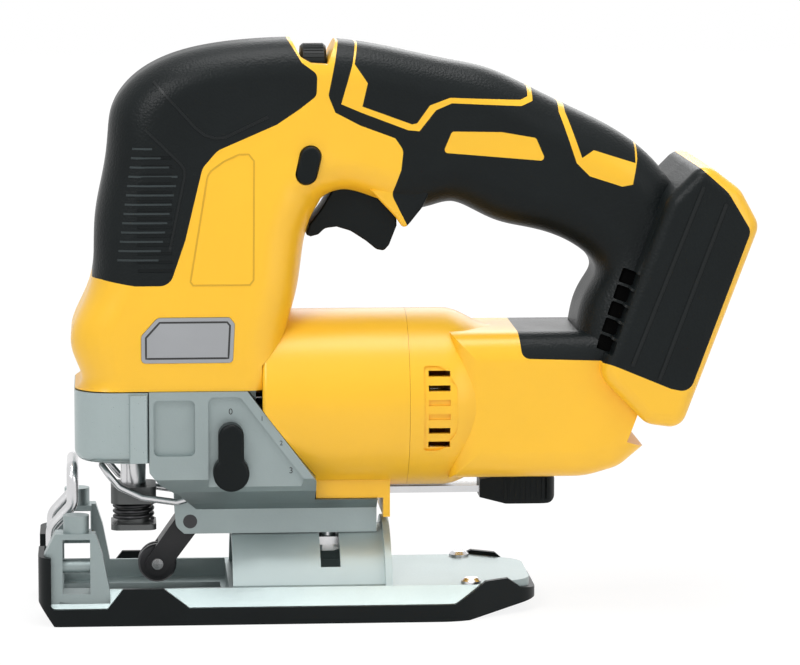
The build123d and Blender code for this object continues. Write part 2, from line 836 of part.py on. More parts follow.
# Motor sleeve with its skirt round the bevel lever
sleeve_cut = [
    (seam_top[0] - 40.0, seam_top[1] + 2 * seat_gap),
    (seam_top[0] + seat_gap, seam_top[1] + 2 * seat_gap),
    (seam_low[0] + 2 * seat_gap, seam_low[1]),
    (seam_low[0] + 2 * seat_gap, rail_top_z - 10.0),
    (seam_top[0] - 40.0, rail_top_z - 10.0),
]
sleeve_front_cut = side_prism(sleeve_cut, -2 * barrel_radius, 2 * barrel_radius)
skirt_left = block(
    (skirt_front_x, -skirt_half_width, rail_top_z + 2 * seat_gap),
    (skirt_rear_x, skirt_wall - skirt_half_width, motor_axis_z - barrel_bore / 2),
)
skirt_right = block(
    (skirt_front_x, skirt_half_width - skirt_wall, bar_slot_top_z),
    (skirt_rear_x, skirt_half_width, motor_axis_z - barrel_bore / 2),
)
skirt_lip = block(
    (skirt_rear_x - lip_thickness, -skirt_half_width, lip_base_z),
    (skirt_rear_x, skirt_half_width, motor_axis_z - barrel_bore / 2),
)
bar_slot = block(
    (skirt_front_x, -bar_half_width - running_gap, rail_top_z - running_gap),
    (skirt_rear_x + 1.0, 2 * skirt_half_width, bar_slot_top_z),
)
with BuildPart() as motor_sleeve:
    with BuildSketch(Plane.YZ.offset(sleeve_front_x)):
        with Locations((0, motor_axis_z)):
            Circle(barrel_radius)
    extrude(amount=sleeve_rear_x - seat_gap - sleeve_front_x)
    fillet(motor_sleeve.faces().sort_by(Axis.X)[0].edges(), 1.5)
    add([skirt_left, skirt_right, skirt_lip])
    with BuildSketch(Plane.YZ.offset(sleeve_front_x - 1)):
        with Locations((0, motor_axis_z)):
            Circle(barrel_bore)
    extrude(amount=sleeve_rear_x - sleeve_front_x + 2, mode=Mode.SUBTRACT)
    add(bar_slot, mode=Mode.SUBTRACT)
    add(sleeve_front_cut, mode=Mode.SUBTRACT)
save(motor_sleeve.part, "motor_sleeve")

# Wire finger guard in front of the blade clamp
finger_path = [
    (-31.0, -finger_half_width, 42.0),
    (-40.0, -finger_half_width, 39.4),
    (-52.0, -finger_half_width, 41.2),
    (-60.0, -finger_half_width, 45.0),
    (-66.0, -finger_half_width, nose_flange_z - finger_wire_radius - running_gap),
]
finger_path += [(x, -y, z) for x, y, z in reversed(finger_path)]
with BuildPart() as finger_guard:
    with BuildLine() as finger_line:
        FilletPolyline(*finger_path, radius=4.0)
    with BuildSketch(Plane(origin=finger_line.line @ 0, z_dir=finger_line.line % 0)):
        Circle(finger_wire_radius)
    sweep(path=finger_line.line)
save(finger_guard.part, "finger_guard")

# Gear case with nose, upper case and foot rail
gear_outline = [
    (gear_case_front_x, case_top_z),
    seam_top,
    seam_low,
    (seam_low[0], rail_top_z),
    (rail_rear_x, rail_top_z),
    (rail_rear_x, hump_radius / 2),
    (rail_front_x, hump_radius / 2),
    (rail_front_x, 30.5),
    (-40.0, 44.0),
    (-46.0, 48.0),
    (gear_case_front_x, 52.5),
]
half_section = [
    (gear_case_half_width, case_top_z),
    (gear_case_half_width, 50.0),
    (26.0, 45.0),
    (13.0, 38.5),
    (rail_half_width, 36.0),
    (rail_half_width, hump_radius / 2),
]
gear_section = half_section + [(-y, z) for y, z in reversed(half_section)]
pocket_outline = [(-29.0, 45.5), (2.6, 45.3), (4.7, 49.4), (-17.8, 79.0), (-29.0, 79.0)]
recess_outline = [(-48.0, 58.3), (-33.6, 58.3), (-33.6, 78.0), (-48.0, 78.0)]
gear_side = side_prism(gear_outline, -gear_case_half_width - 1, gear_case_half_width + 1)
pocket = side_prism(
    pocket_outline, -gear_case_half_width - 1, pocket_floor_y, [(i, 2.5) for i in range(5)]
)
recess = side_prism(
    recess_outline, -gear_case_half_width - 1, 3.0 - gear_case_half_width, [(i, 2.0) for i in range(4)]
)
lug_outline = [(-26.0, 24.0), (-26.0, 44.0), (-41.0, 46.0), (-40.2, 30.0), (-36.0, 26.2)]
fork_lugs = side_prism(lug_outline, -rail_half_width, rail_half_width, [(3, 4.0), (4, 4.0)])
fork_slot = block(
    (fork_pivot_x - 12.0, -fork_half_width - running_gap, 10.0),
    (fork_pivot_x + 5.6, fork_half_width + running_gap, fork_pivot_z + 5.6),
)
plate_bay = block(
    (bearing_plate_front_x, -gear_cavity_half_width, bearing_plate_base_z),
    (sleeve_front_x + 8.0, gear_cavity_half_width, gear_cavity_top_z),
)
cavity_base_z = lower_bush_base_z + bush_length
with BuildPart() as gear_cavity:
    with BuildSketch(Plane.XY.offset(case_top_z)) as cavity_sketch:
        with Locations(((gear_cavity_low_x + bearing_plate_front_x) / 2, 0)):
            Rectangle(bearing_plate_front_x - gear_cavity_low_x, 2 * gear_cavity_half_width)
        fillet(cavity_sketch.vertices().group_by(Axis.X)[0], 8.0)
    extrude(amount=gear_cavity_top_z - case_top_z)
    add(block(
        (pin_front_x - running_gap, -gear_cavity_half_width, cavity_base_z),
        (bearing_plate_front_x, gear_cavity_half_width, case_top_z),
    ))
    add(block(
        (plunger_x - yoke_collar_radius - running_gap, -yoke_collar_radius - running_gap, cavity_base_z),
        (pin_front_x, yoke_collar_radius + running_gap, case_top_z),
    ))

with BuildPart() as gear_case:
    with BuildSketch(Plane.YZ.offset(gear_case_front_x)):
        with BuildLine():
            Polyline(*gear_section, close=True)
        make_face()
    extrude(amount=rail_rear_x - gear_case_front_x)
    add(gear_side, mode=Mode.INTERSECT)
    add(fork_lugs)
    with BuildSketch(Plane.XY.offset(nose_flange_z)):
        with Locations((plunger_x, 0)):
            Circle(nose_flange_radius)
    extrude(amount=nose_flange_thickness)
    with BuildSketch(Plane.XY.offset(nose_flange_z)):
        with Locations((plunger_x, 0)):
            Circle(nose_radius)
    extrude(amount=case_top_z - nose_flange_z)
    upper_width = sleeve_front_x - 2.0 - upper_case_front_x
    with BuildSketch(Plane.XY.offset(case_top_z)) as upper_sketch:
        with Locations((upper_case_front_x + upper_width / 2, 0)):
            Rectangle(upper_width, 2 * upper_case_half_width)
        fillet(upper_sketch.vertices().group_by(Axis.X)[0], 10.0)
        fillet(upper_sketch.vertices().group_by(Axis.X)[-1], 3.0)
    extrude(amount=upper_case_top_z - case_top_z)
    # Bevel seat under the rail, motor bore, plate bay and gear cavity
    with BuildSketch(Plane.YZ.offset(rail_front_x - 20)):
        Circle(hump_radius + running_gap)
    extrude(amount=rail_rear_x - rail_front_x + 40, mode=Mode.SUBTRACT)
    with BuildSketch(Plane.YZ.offset(sleeve_front_x - 2.0)):
        with Locations((0, motor_axis_z)):
            Circle(fan_radius + 2.0)
    extrude(amount=60.0, mode=Mode.SUBTRACT)
    add([plate_bay, gear_cavity.part, pocket, recess, fork_slot], mode=Mode.SUBTRACT)
    with BuildSketch(Plane.YZ.offset(gear_front_x - 5.0)):
        with Locations((0, motor_axis_z)):
            Circle(gear_module * (pinion_teeth + 2) / 2 + 3.0)
    extrude(amount=bearing_plate_front_x - gear_front_x + 5.0, mode=Mode.SUBTRACT)
    # Plunger bores
    for radius, low, high in (
        (nose_bore, clamp_head_z, lower_bush_base_z),
        (rod_radius + bush_wall, lower_bush_base_z - 1, lower_bush_base_z + bush_length + 1),
        (rod_radius + 2.0, upper_bush_base_z - 3, upper_bush_base_z + 1),
        (rod_radius + bush_wall - 0.5, upper_bush_base_z, upper_case_top_z + 1),
    ):
        with BuildSketch(Plane.XY.offset(low)):
            with Locations((plunger_x, 0)):
                Circle(radius)
        extrude(amount=high - low, mode=Mode.SUBTRACT)
    # Orbit shaft, fork pin and bevel bolt bores
    orbit_bore = orbit_shaft_radius + shaft_gap
    for x, z, radius, near, far in (
        (orbit_pivot_x, orbit_pivot_z, orbit_bore, -gear_case_half_width, orbit_bore_end_y),
        (fork_pivot_x, fork_pivot_z, fork_pin_radius, -rail_half_width, rail_half_width),
    ):
        with BuildSketch(Plane.XZ.offset(-far)):
            with Locations((x, z)):
                Circle(radius)
        extrude(amount=far - near, mode=Mode.SUBTRACT)
    with BuildSketch(Plane.XY.offset(hump_radius - 5)):
        with Locations((bevel_pivot_x, 0)):
            Circle(bevel_bolt_radius + shaft_gap)
    extrude(amount=30.0, mode=Mode.SUBTRACT)
    with BuildSketch(Plane.XY.offset(boss_base_z - running_gap)):
        with Locations((bevel_pivot_x, 0)):
            Circle(bevel_boss_radius + running_gap)
    extrude(amount=8.0, mode=Mode.SUBTRACT)
    add(finger_guard.part, mode=Mode.SUBTRACT)
save(gear_case.part, "gear_case")

# Bearing plate, bearings and gear axle
with BuildPart() as bearing_plate:
    add(block(
        (bearing_plate_front_x, -gear_cavity_half_width, bearing_plate_base_z),
        (bearing_plate_rear_x, gear_cavity_half_width, gear_cavity_top_z),
    ))
    for centre_z, radius in ((motor_axis_z, bearing_radius), (crank_z, axle_radius)):
        add(ring(bearing_plate_front_x, bearing_plate_rear_x, centre_z, radius, 0), mode=Mode.SUBTRACT)
save(bearing_plate.part, "bearing_plate")

front_bearing = ring(
    bearing_plate_front_x, bearing_plate_rear_x, motor_axis_z, bearing_radius, shaft_radius + shaft_gap
)
save(front_bearing, "motor_front_bearing")
rear_bearing_end_x = rear_bearing_x + bearing_width
rear_bearing = ring(
    rear_bearing_x, rear_bearing_end_x, motor_axis_z, rear_bearing_radius, shaft_radius + shaft_gap
)
save(rear_bearing, "motor_rear_bearing")

with BuildPart() as gear_axle:
    head_front_x = gear_front_x - seat_gap - running_gap - axle_head_thickness
    add(ring(head_front_x, bearing_plate_rear_x, crank_z, axle_radius, 0))
    add(ring(head_front_x, head_front_x + axle_head_thickness, crank_z, axle_head_radius, 0))
save(gear_axle.part, "gear_axle")

# Crank gear, its bush and the counterweight
gear_bush = ring(gear_front_x, gear_rear_x, crank_z, gear_bore, axle_radius + shaft_gap)
save(gear_bush, "gear_bush")
with BuildPart() as crank_gear:
    with BuildSketch(Plane.YZ.offset(gear_front_x)):
        with Locations((0, crank_z)):
            with BuildSketch(mode=Mode.PRIVATE) as wheel:
                with BuildLine():
                    Polyline(*gear_outline_points(gear_teeth, math.pi / gear_teeth), close=True)
                make_face()
            add(wheel.sketch)
            Circle(gear_bore, mode=Mode.SUBTRACT)
    extrude(amount=gear_width)
save(crank_gear.part, "crank_gear")
with BuildPart() as counterweight:
    with BuildSketch(Plane.YZ.offset(gear_rear_x)):
        with Locations((0, crank_z)):
            Circle(16.0)
            Circle(gear_bore + 1.5, mode=Mode.SUBTRACT)
        with Locations((20.0, crank_z)):
            Rectangle(40.0, 80.0, mode=Mode.SUBTRACT)
    extrude(amount=counterweight_thickness)
save(counterweight.part, "counterweight")

# Rotor with pinion, fan, stator and windings
with BuildPart() as rotor_shaft:
    with BuildSketch(Plane.YZ.offset(gear_front_x - 2.0)):
        with Locations((0, motor_axis_z)):
            with BuildSketch(mode=Mode.PRIVATE) as pinion:
                with BuildLine():
                    Polyline(*gear_outline_points(pinion_teeth, 0.0), close=True)
                make_face()
            add(pinion.sketch)
    extrude(amount=gear_width + 3.0)
    add(ring(gear_rear_x + 1.0, rear_bearing_x + bearing_width, motor_axis_z, shaft_radius, 0))
save(rotor_shaft.part, "rotor_shaft")
rotor_core = ring(stator_front_x, stator_rear_x, motor_axis_z, rotor_radius, shaft_radius)
save(rotor_core, "rotor_core")
with BuildPart() as cooling_fan:
    add(ring(fan_front_x, fan_front_x + 2.0, motor_axis_z, fan_radius, shaft_radius))
    add(ring(fan_front_x, fan_front_x + fan_width, motor_axis_z, shaft_radius + 4.0, shaft_radius))
    with BuildSketch(Plane.YZ.offset(fan_front_x + 2.0)):
        with Locations((0, motor_axis_z)):
            with PolarLocations((fan_radius + shaft_radius + 3.0) / 2, fan_blades):
                Rectangle(fan_radius - shaft_radius - 4.0, 1.4)
    extrude(amount=fan_width - 2.0)
save(cooling_fan.part, "cooling_fan")
with BuildPart() as stator:
    with BuildSketch(Plane.YZ.offset(stator_front_x)):
        with Locations((0, motor_axis_z)):
            Circle(barrel_bore - seat_gap)
            Circle(rotor_radius + running_gap, mode=Mode.SUBTRACT)
            with PolarLocations(19.0, 6):
                Rectangle(11.0, 7.0, mode=Mode.SUBTRACT)
    extrude(amount=stator_rear_x - stator_front_x)
save(stator.part, "stator")
with BuildPart() as stator_windings:
    for face_x in (stator_front_x - winding_length, stator_rear_x):
        with BuildSketch(Plane.YZ.offset(face_x)):
            with Locations((0, motor_axis_z)):
                with PolarLocations(19.6, 6, start_angle=30.0):
                    Rectangle(7.5, 13.0)
        extrude(amount=winding_length)
save(stator_windings.part, "stator_windings")

# Plunger: rod, yoke, crank pin with roller, blade clamp and its spring
rod = round_bar((plunger_x, 0, clamp_head_z), (plunger_x, 0, rod_top_z), rod_radius)
save(rod, "plunger_rod")
with BuildPart() as scotch_yoke:
    add(round_bar(
        (plunger_x, 0, crank_pin_z - yoke_half_height),
        (plunger_x, 0, crank_pin_z + yoke_half_height),
        yoke_collar_radius,
    ))
    add(block(
        (plunger_x, -yoke_collar_radius, crank_pin_z - yoke_half_height),
        (pin_front_x, yoke_collar_radius, crank_pin_z + yoke_half_height),
    ))
    add(block(
        (pin_front_x, -yoke_half_width, crank_pin_z - yoke_half_height),
        (yoke_rear_x, yoke_half_width, crank_pin_z + yoke_half_height),
    ))
    with BuildSketch(Plane.YZ.offset(pin_front_x)):
        with Locations((0, crank_pin_z)):
            RectangleRounded(2 * yoke_half_width - 4.0, 2 * crank_roller_radius + 2 * seat_gap, 3.0)
    extrude(amount=yoke_thickness + 1.0, mode=Mode.SUBTRACT)
    add(rod, mode=Mode.SUBTRACT)
save(scotch_yoke.part, "scotch_yoke")
crank_pin = ring(pin_front_x, pin_rear_x, crank_pin_z, crank_pin_radius, 0, crank_pin_y)
save(crank_pin, "crank_pin")
crank_roller = ring(pin_front_x, yoke_rear_x, crank_pin_z, crank_roller_radius, crank_pin_radius, crank_pin_y)
save(crank_roller, "crank_roller")
with BuildPart() as blade_clamp:
    for low, high in ((clamp_base_z, flange_top_z), (clamp_head_z, clamp_top_z)):
        add(block((clamp_front_x, -clamp_half_width, low), (clamp_rear_x, clamp_half_width, high)))
    fillet(blade_clamp.edges().filter_by(Axis.Z), 3.0)
    add(round_bar((plunger_x, 0, clamp_base_z), (plunger_x, 0, clamp_top_z), clamp_core_radius))
    add(rod, mode=Mode.SUBTRACT)
    add(block(
        (plunger_x - blade_slot_length / 2, -blade_slot_width / 2, clamp_base_z - 1),
        (plunger_x + blade_slot_length / 2, blade_slot_width / 2, clamp_base_z + blade_slot_depth),
    ), mode=Mode.SUBTRACT)
save(blade_clamp.part, "blade_clamp")


with BuildPart() as clamp_spring:
    with BuildLine() as spring_line:
        for step in range(spring_steps):
            start, start_way = spring_place(step)
            end, end_way = spring_place(step + 1)
            reach = end - start
            ways = start_way + end_way
            lean = 2 * (1 - start_way.dot(end_way))
            arm = (math.sqrt(reach.dot(ways) ** 2 + lean * reach.dot(reach)) - reach.dot(ways)) / lean
            middle = (start + end + (start_way - end_way) * arm) * 0.5
            middle_way = (end - end_way * arm) - (start + start_way * arm)
            TangentArc(start, middle, tangent=start_way)
            TangentArc(middle, end, tangent=middle_way)
    first_point, first_way = spring_place(0)
    with BuildSketch(Plane(origin=first_point, z_dir=first_way)):
        Circle(clamp_spring_wire / 2)
    sweep(path=spring_line.wires()[0])
save(clamp_spring.part, "clamp_spring")
spring_wire = spring_line.wires()[0]
spring_samples = [spring_wire @ (i / 240) for i in range(241)]
spring_turn = 240 // clamp_spring_turns
spring_gap = min(
    (spring_samples[i] - spring_samples[j]).length
    for i in range(241)
    for j in range(i + spring_turn // 2, 241)
) - clamp_spring_wire
print("least gap of the clamp spring to itself", round(spring_gap, 3))

with BuildPart() as lower_bush:
    add(round_bar(
        (plunger_x, 0, lower_bush_base_z),
        (plunger_x, 0, lower_bush_base_z + bush_length),
        rod_radius + bush_wall,
    ))
    add(round_bar((plunger_x, 0, 0), (plunger_x, 0, rod_top_z), rod_radius + shaft_gap), mode=Mode.SUBTRACT)
save(lower_bush.part, "plunger_bush_lower")
with BuildPart() as upper_bush:
    add(round_bar(
        (plunger_x, 0, upper_bush_base_z),
        (plunger_x, 0, upper_bush_base_z + bush_length),
        rod_radius + bush_wall - 0.5,
    ))
    add(round_bar((plunger_x, 0, 0), (plunger_x, 0, rod_top_z), rod_radius + shaft_gap), mode=Mode.SUBTRACT)
save(upper_bush.part, "plunger_bush_upper")

# Orbit selector, its shaft, roller fork and guide roller
with BuildPart() as orbit_lever:
    with BuildSketch(Plane.XZ.offset(-lever_back_y)):
        with Locations((orbit_pivot_x, orbit_pivot_z)):
            Circle(orbit_hub_radius)
        with Locations((orbit_pivot_x, arm_end_z)):
            Circle(orbit_arm_width / 2)
        with Locations((orbit_pivot_x, (orbit_pivot_z + arm_end_z) / 2)):
            Rectangle(orbit_arm_width, arm_end_z - orbit_pivot_z)
    extrude(amount=orbit_lever_thickness)
    fillet(orbit_lever.faces().sort_by(Axis.Y)[0].edges(), 1.2)
save(orbit_lever.part, "orbit_lever")
orbit_shaft_end_y = orbit_bore_end_y - running_gap
orbit_shaft = across_disc(orbit_pivot_x, orbit_pivot_z, orbit_shaft_radius, lever_back_y, orbit_shaft_end_y)
save(orbit_shaft, "orbit_shaft")

pivot_pin = across_disc(fork_pivot_x, fork_pivot_z, fork_pin_radius, -rail_half_width, rail_half_width)
save(pivot_pin, "roller_pivot_pin")
roller_axle = across_disc(roller_x, roller_z, roller_axle_radius, -fork_half_width, fork_half_width)
save(roller_axle, "roller_axle")
fork_way = Vector(roller_x - fork_pivot_x, 0, roller_z - fork_pivot_z)
fork_plane = Plane(origin=(fork_pivot_x, 0, fork_pivot_z), x_dir=fork_way, z_dir=(0, -1, 0))
with BuildPart() as roller_fork:
    with BuildSketch(fork_plane.offset(-fork_half_width)):
        with BuildLine():
            Polyline(
                (0, fork_head_radius),
                (0, -fork_head_radius),
                (fork_way.length, -fork_eye_radius),
                (fork_way.length, fork_eye_radius),
                close=True,
            )
        make_face()
        Circle(fork_head_radius)
        with Locations((fork_way.length, 0)):
            Circle(fork_eye_radius)
    extrude(amount=2 * fork_half_width)
    with BuildSketch(fork_plane.offset(-fork_inner)):
        with Locations((fork_way.length, 0)):
            Circle(roller_radius + 2 * running_gap)
            with Locations((6.0, 0)):
                Rectangle(12.0, 20.0)
    extrude(amount=2 * fork_inner, mode=Mode.SUBTRACT)
    add(roller_axle, mode=Mode.SUBTRACT)
    add(across_disc(
        fork_pivot_x, fork_pivot_z, fork_pin_radius + shaft_gap, -rail_half_width, rail_half_width
    ), mode=Mode.SUBTRACT)
save(roller_fork.part, "roller_fork")
with BuildPart() as guide_roller:
    with BuildSketch(Plane.XY.offset(roller_z)):
        with BuildLine():
            Polyline(
                (roller_x + roller_axle_radius + shaft_gap, -roller_half_width),
                (roller_x + roller_radius - 0.6, -roller_half_width),
                (roller_x + roller_radius, 0.6 - roller_half_width),
                (roller_x + roller_radius, -1.2),
                (roller_x + roller_radius - roller_groove, 0),
                (roller_x + roller_radius, 1.2),
                (roller_x + roller_radius, roller_half_width - 0.6),
                (roller_x + roller_radius - 0.6, roller_half_width),
                (roller_x + roller_axle_radius + shaft_gap, roller_half_width),
                close=True,
            )
        make_face()
    revolve(axis=Axis((roller_x, 0, roller_z), (0, 1, 0)))
save(guide_roller.part, "guide_roller")

# Blade release lever round the nose
lever_outline = [
    (lever_front_x, -lever_half_width),
    (lever_rear_x, -lever_half_width),
    (lever_rear_x, lever_half_width),
    (lever_front_x, lever_half_width),
]
lever_end = math.radians(lever_end_angle)
lever_keep_outline = [
    (lever_rear_x, -60.0),
    (lever_rear_x, 0.0),
    (plunger_x, 0.0),
    (plunger_x + 60.0 * math.cos(lever_end), 60.0 * math.sin(lever_end)),
    (lever_front_x - 40.0, 60.0),
    (lever_front_x - 40.0, -60.0),
]
lever_keep = plan_prism(lever_keep_outline, lever_base_z, lever_top_z)
with BuildPart() as release_lever:
    add(plan_prism(lever_outline, lever_base_z, lever_top_z, [(0, 13.0), (3, 13.0)]))
    fillet(release_lever.edges().filter_by(Plane.XY).group_by(Axis.Z)[0].sort_by(Axis.X)[:-1], 4.0)
    add(block(
        (lever_rear_x - ridge_length, -lever_half_width - ridge_proud, lever_base_z + 0.6),
        (lever_rear_x, -lever_half_width + 6.0, lever_top_z - 0.6),
    ))
    fillet(release_lever.edges().filter_by(Axis.Z).sort_by(Axis.Y)[:2], 1.2)
    add(lever_keep, mode=Mode.INTERSECT)
    add(round_bar((plunger_x, 0, 0), (plunger_x, 0, 200), nose_radius + running_gap), mode=Mode.SUBTRACT)
save(release_lever.part, "blade_release_lever")

# Shoe: plate, sole cover, bevel bracket, screws and wire guard
shoe_plan = [
    (plate_front_x, -plate_half_width),
    (58.0, -plate_half_width),
    (plate_rear_x, -plate_half_width / 2),
    (plate_rear_x, plate_half_width / 2),
    (58.0, plate_half_width),
    (plate_front_x, plate_half_width),
]
shoe_plan_corners = [(0, 6.0), (1, 20.0), (2, 10.0), (3, 10.0), (4, 20.0), (5, 6.0)]
plate_side = [
    (plate_front_x, 60.0),
    (plate_front_x, 9.0),
    (-82.0, sole_thickness),
    (62.0, sole_thickness),
    (plate_rear_x, 6.5),
    (plate_rear_x, 60.0),
]
cover_side = [
    (shoe_front_x, 24.0),
    (shoe_front_x, 8.0),
    (-83.0, 0.0),
    (62.0, 0.0),
    (shoe_rear_x, 4.5),
    (shoe_rear_x, 8.0),
    (81.0, 9.2),
    (76.2, 13.0),
    (68.0, 13.0),
    (57.0, 6.0),
    (-36.0, 6.0),
    (-45.0, 13.0),
    (-59.0, 13.0),
    (-64.5, 6.0),
    (-84.0, 6.0),
    (-84.0, 24.0),
]
block_side = [
    (plate_front_x, 9.0),
    (plate_front_x, 24.0),
    (-82.5, block_top_z),
    (-68.5, block_top_z),
    (-66.0, 24.0),
    (-63.6, deck_z),
    (-63.6, floor_z),
]
plate_prism = side_prism(plate_side, -shoe_half_width, shoe_half_width)
plate_plan = plan_prism(shoe_plan, 0, 60.0, shoe_plan_corners)
cover_plan = plan_prism(shoe_plan, 0, 60.0, shoe_plan_corners, grow=cover_wall)
with BuildPart() as plate_envelope:
    add(plate_prism)
    add(plate_plan, mode=Mode.INTERSECT)

guard_path = [
    (-84.0, -guard_half_width, 14.0),
    (-84.0, -guard_half_width, 31.0),
    (guard_x, -guard_half_width, 39.0),
    (guard_x, -guard_half_width, guard_top_z),
]
guard_path += [(x, -y, z) for x, y, z in reversed(guard_path)]
with BuildPart() as front_guard:
    with BuildLine() as guard_line:
        FilletPolyline(*guard_path, radius=5.0)
    with BuildSketch(Plane(origin=guard_line.line @ 0, z_dir=guard_line.line % 0)):
        Circle(guard_wire_radius)
    sweep(path=guard_line.line)
save(front_guard.part, "front_guard")

shoe_cuts = [
    block((throat_front_x, -throat_half_width, floor_z), (throat_rear_x, throat_half_width, 60)),
    block((-80.0, -22.0, floor_z), (throat_front_x + 1, 22.0, 60)),
    block((-80.0, -16.0, -1), (-24.0, 16.0, 60)),
    block((shoe_front_x - 1, -13.0, -1), (-79.0, 13.0, 60)),
    block((hump_front_x + 2.5, -22.5, floor_z - 0.5), (31.0, 22.5, 60)),
]
with BuildPart() as shoe_plate:
    with BuildSketch(Plane.YZ.offset(plate_front_x)):
        with BuildLine():
            Polyline(
                (-plate_half_width, 0),
                (plate_half_width, 0),
                (plate_half_width, shoe_edge_z),
                (deck_half_width, deck_z),
                (-deck_half_width, deck_z),
                (-plate_half_width, shoe_edge_z),
                close=True,
            )
        make_face()
    extrude(amount=plate_rear_x - plate_front_x)
    for side in (-1, 1):
        near, far = sorted((side * block_inner_y, side * block_outer_y))
        add(side_prism(block_side, near, far))
        low, high = sorted((side * 12.0, side * block_outer_y))
        add(block((plate_front_x, low, floor_z), (-81.0, high, 20.0)))
    add(plate_envelope.part, mode=Mode.INTERSECT)
    add(shoe_cuts, mode=Mode.SUBTRACT)
    window = [
        (window_front_x, window_base_z),
        (window_rear_x, window_base_z),
        (window_rear_x, window_top_z),
        (window_front_x, window_top_z),
    ]
    window_cut = side_prism(window, -shoe_half_width, shoe_half_width)
    add(window_cut, mode=Mode.SUBTRACT)
    for side in (-1, 1):
        add(round_bar(
            (window_front_x - 1, side * block_middle_y, window_bar_z),
            (window_rear_x + 1, side * block_middle_y, window_bar_z),
            window_bar_radius,
        ))
        add(round_bar(
            (window_middle_x, side * block_middle_y, block_top_z - 0.5),
            (window_middle_x, side * block_middle_y, block_boss_z),
            block_boss_radius,
        ))
    add(front_guard.part, mode=Mode.SUBTRACT)
save(shoe_plate.part, "shoe_plate")

with BuildPart() as shoe_cover:
    add(side_prism(cover_side, -2 * shoe_half_width, 2 * shoe_half_width))
    add(cover_plan, mode=Mode.INTERSECT)
    add(plate_envelope.part, mode=Mode.SUBTRACT)
    add(block((shoe_front_x - 5, -12.0, -1), (-79.0, 12.0, 60)), mode=Mode.SUBTRACT)
    add(block((-80.0, -blade_slot_half_width, -1), (-30.0, blade_slot_half_width, 60)), mode=Mode.SUBTRACT)
save(shoe_cover.part, "shoe_cover")

with BuildPart() as bevel_bracket:
    with BuildSketch(Plane.YZ.offset(hump_front_x)):
        Circle(hump_radius)
        Circle(hump_radius - hump_wall, mode=Mode.SUBTRACT)
    extrude(amount=hump_rear_x - hump_front_x)
    with BuildSketch(Plane.YZ.offset(hump_rear_x)):
        Circle(hump_end_radius)
        Circle(hump_end_radius - 11.5, mode=Mode.SUBTRACT)
    extrude(amount=hump_end_thickness)
    with BuildSketch(Plane.YZ.offset(bevel_pivot_x - bevel_slot_width / 2)):
        with BuildLine():
            Polyline(
                (0, 0),
                (60 * math.sin(math.radians(slot_limit)), 60 * math.cos(math.radians(slot_limit))),
                (0, 90),
                (-60 * math.sin(math.radians(slot_limit)), 60 * math.cos(math.radians(slot_limit))),
                close=True,
            )
        make_face()
    extrude(amount=bevel_slot_width, mode=Mode.SUBTRACT)
    add(block((hump_front_x - 1, -60, -60), (hump_rear_x + 10, 60, deck_z)), mode=Mode.SUBTRACT)
save(bevel_bracket.part, "bevel_bracket")

with BuildPart() as shoe_screws:
    with BuildSketch(Plane.XZ.offset(shoe_screw_y)):
        with BuildLine():
            Polyline(
                (shoe_screw_x, deck_z),
                (shoe_screw_x + shoe_screw_radius, deck_z),
                (shoe_screw_x + shoe_screw_radius, deck_z + 0.9),
                (shoe_screw_x + shoe_screw_radius - 1.2, deck_z + 2.0),
                (shoe_screw_x, deck_z + 2.2),
                close=True,
            )
        make_face()
    revolve(axis=Axis((shoe_screw_x, -shoe_screw_y, 0), (0, 0, 1)))
    mirror(about=Plane.XZ)
save(shoe_screws.part, "shoe_screws")

# Bevel lever, its knob, bolt and clamp plate
with BuildPart() as bevel_bolt:
    add(round_bar((bevel_pivot_x, 0, bolt_head_z), (bevel_pivot_x, 0, bar_top_z), bevel_bolt_radius))
    with BuildSketch(Plane.XY.offset(bolt_head_z)):
        with Locations((bevel_pivot_x, 0)):
            RegularPolygon(bolt_head_radius, 6)
    extrude(amount=clamp_plate_radius - bolt_head_z)
save(bevel_bolt.part, "bevel_bolt")
with BuildPart() as bevel_clamp_plate:
    with BuildSketch(Plane.YZ.offset(bevel_pivot_x - 10.0)):
        Circle(hump_radius - hump_wall - running_gap)
        Circle(clamp_plate_radius, mode=Mode.SUBTRACT)
        with Locations((0, -40.0)):
            Rectangle(80, 80, mode=Mode.SUBTRACT)
        for side in (-1, 1):
            with Locations((side * (clamp_plate_half_width + 25.0), 20.0)):
                Rectangle(50, 60, mode=Mode.SUBTRACT)
    extrude(amount=20.0)
    add(bevel_bolt.part, mode=Mode.SUBTRACT)
save(bevel_clamp_plate.part, "bevel_clamp_plate")
bolt_hole = round_bar((bevel_pivot_x, 0, 0), (bevel_pivot_x, 0, 60), bevel_bolt_radius + shaft_gap)
with BuildPart() as bevel_lever:
    with BuildSketch(Plane.XY.offset(bar_base_z)):
        with Locations((bevel_pivot_x, 0)):
            Circle(bar_half_width)
        with Locations(((bevel_pivot_x + bar_end_x) / 2, 0)):
            Rectangle(bar_end_x - bevel_pivot_x, 2 * bar_half_width)
    extrude(amount=bar_thickness)
    add(round_bar(
        (bevel_pivot_x, 0, boss_base_z), (bevel_pivot_x, 0, bar_base_z), bevel_boss_radius
    ))
    add(bolt_hole, mode=Mode.SUBTRACT)
save(bevel_lever.part, "bevel_lever")
knob_plan = [
    (knob_front_x, -bar_half_width - 1.5),
    (knob_front_x + 10.0, -knob_half_width),
    (knob_rear_x, -knob_half_width),
    (knob_rear_x, knob_half_width),
    (knob_front_x + 10.0, knob_half_width),
    (knob_front_x, bar_half_width + 1.5),
]
knob_side = [
    (knob_front_x, knob_base_z + 2.0),
    (knob_front_x, knob_top_z - 2.2),
    (knob_front_x + 9.0, knob_top_z),
    (knob_rear_x, knob_top_z),
    (knob_rear_x, knob_base_z),
    (knob_front_x + 9.0, knob_base_z),
]
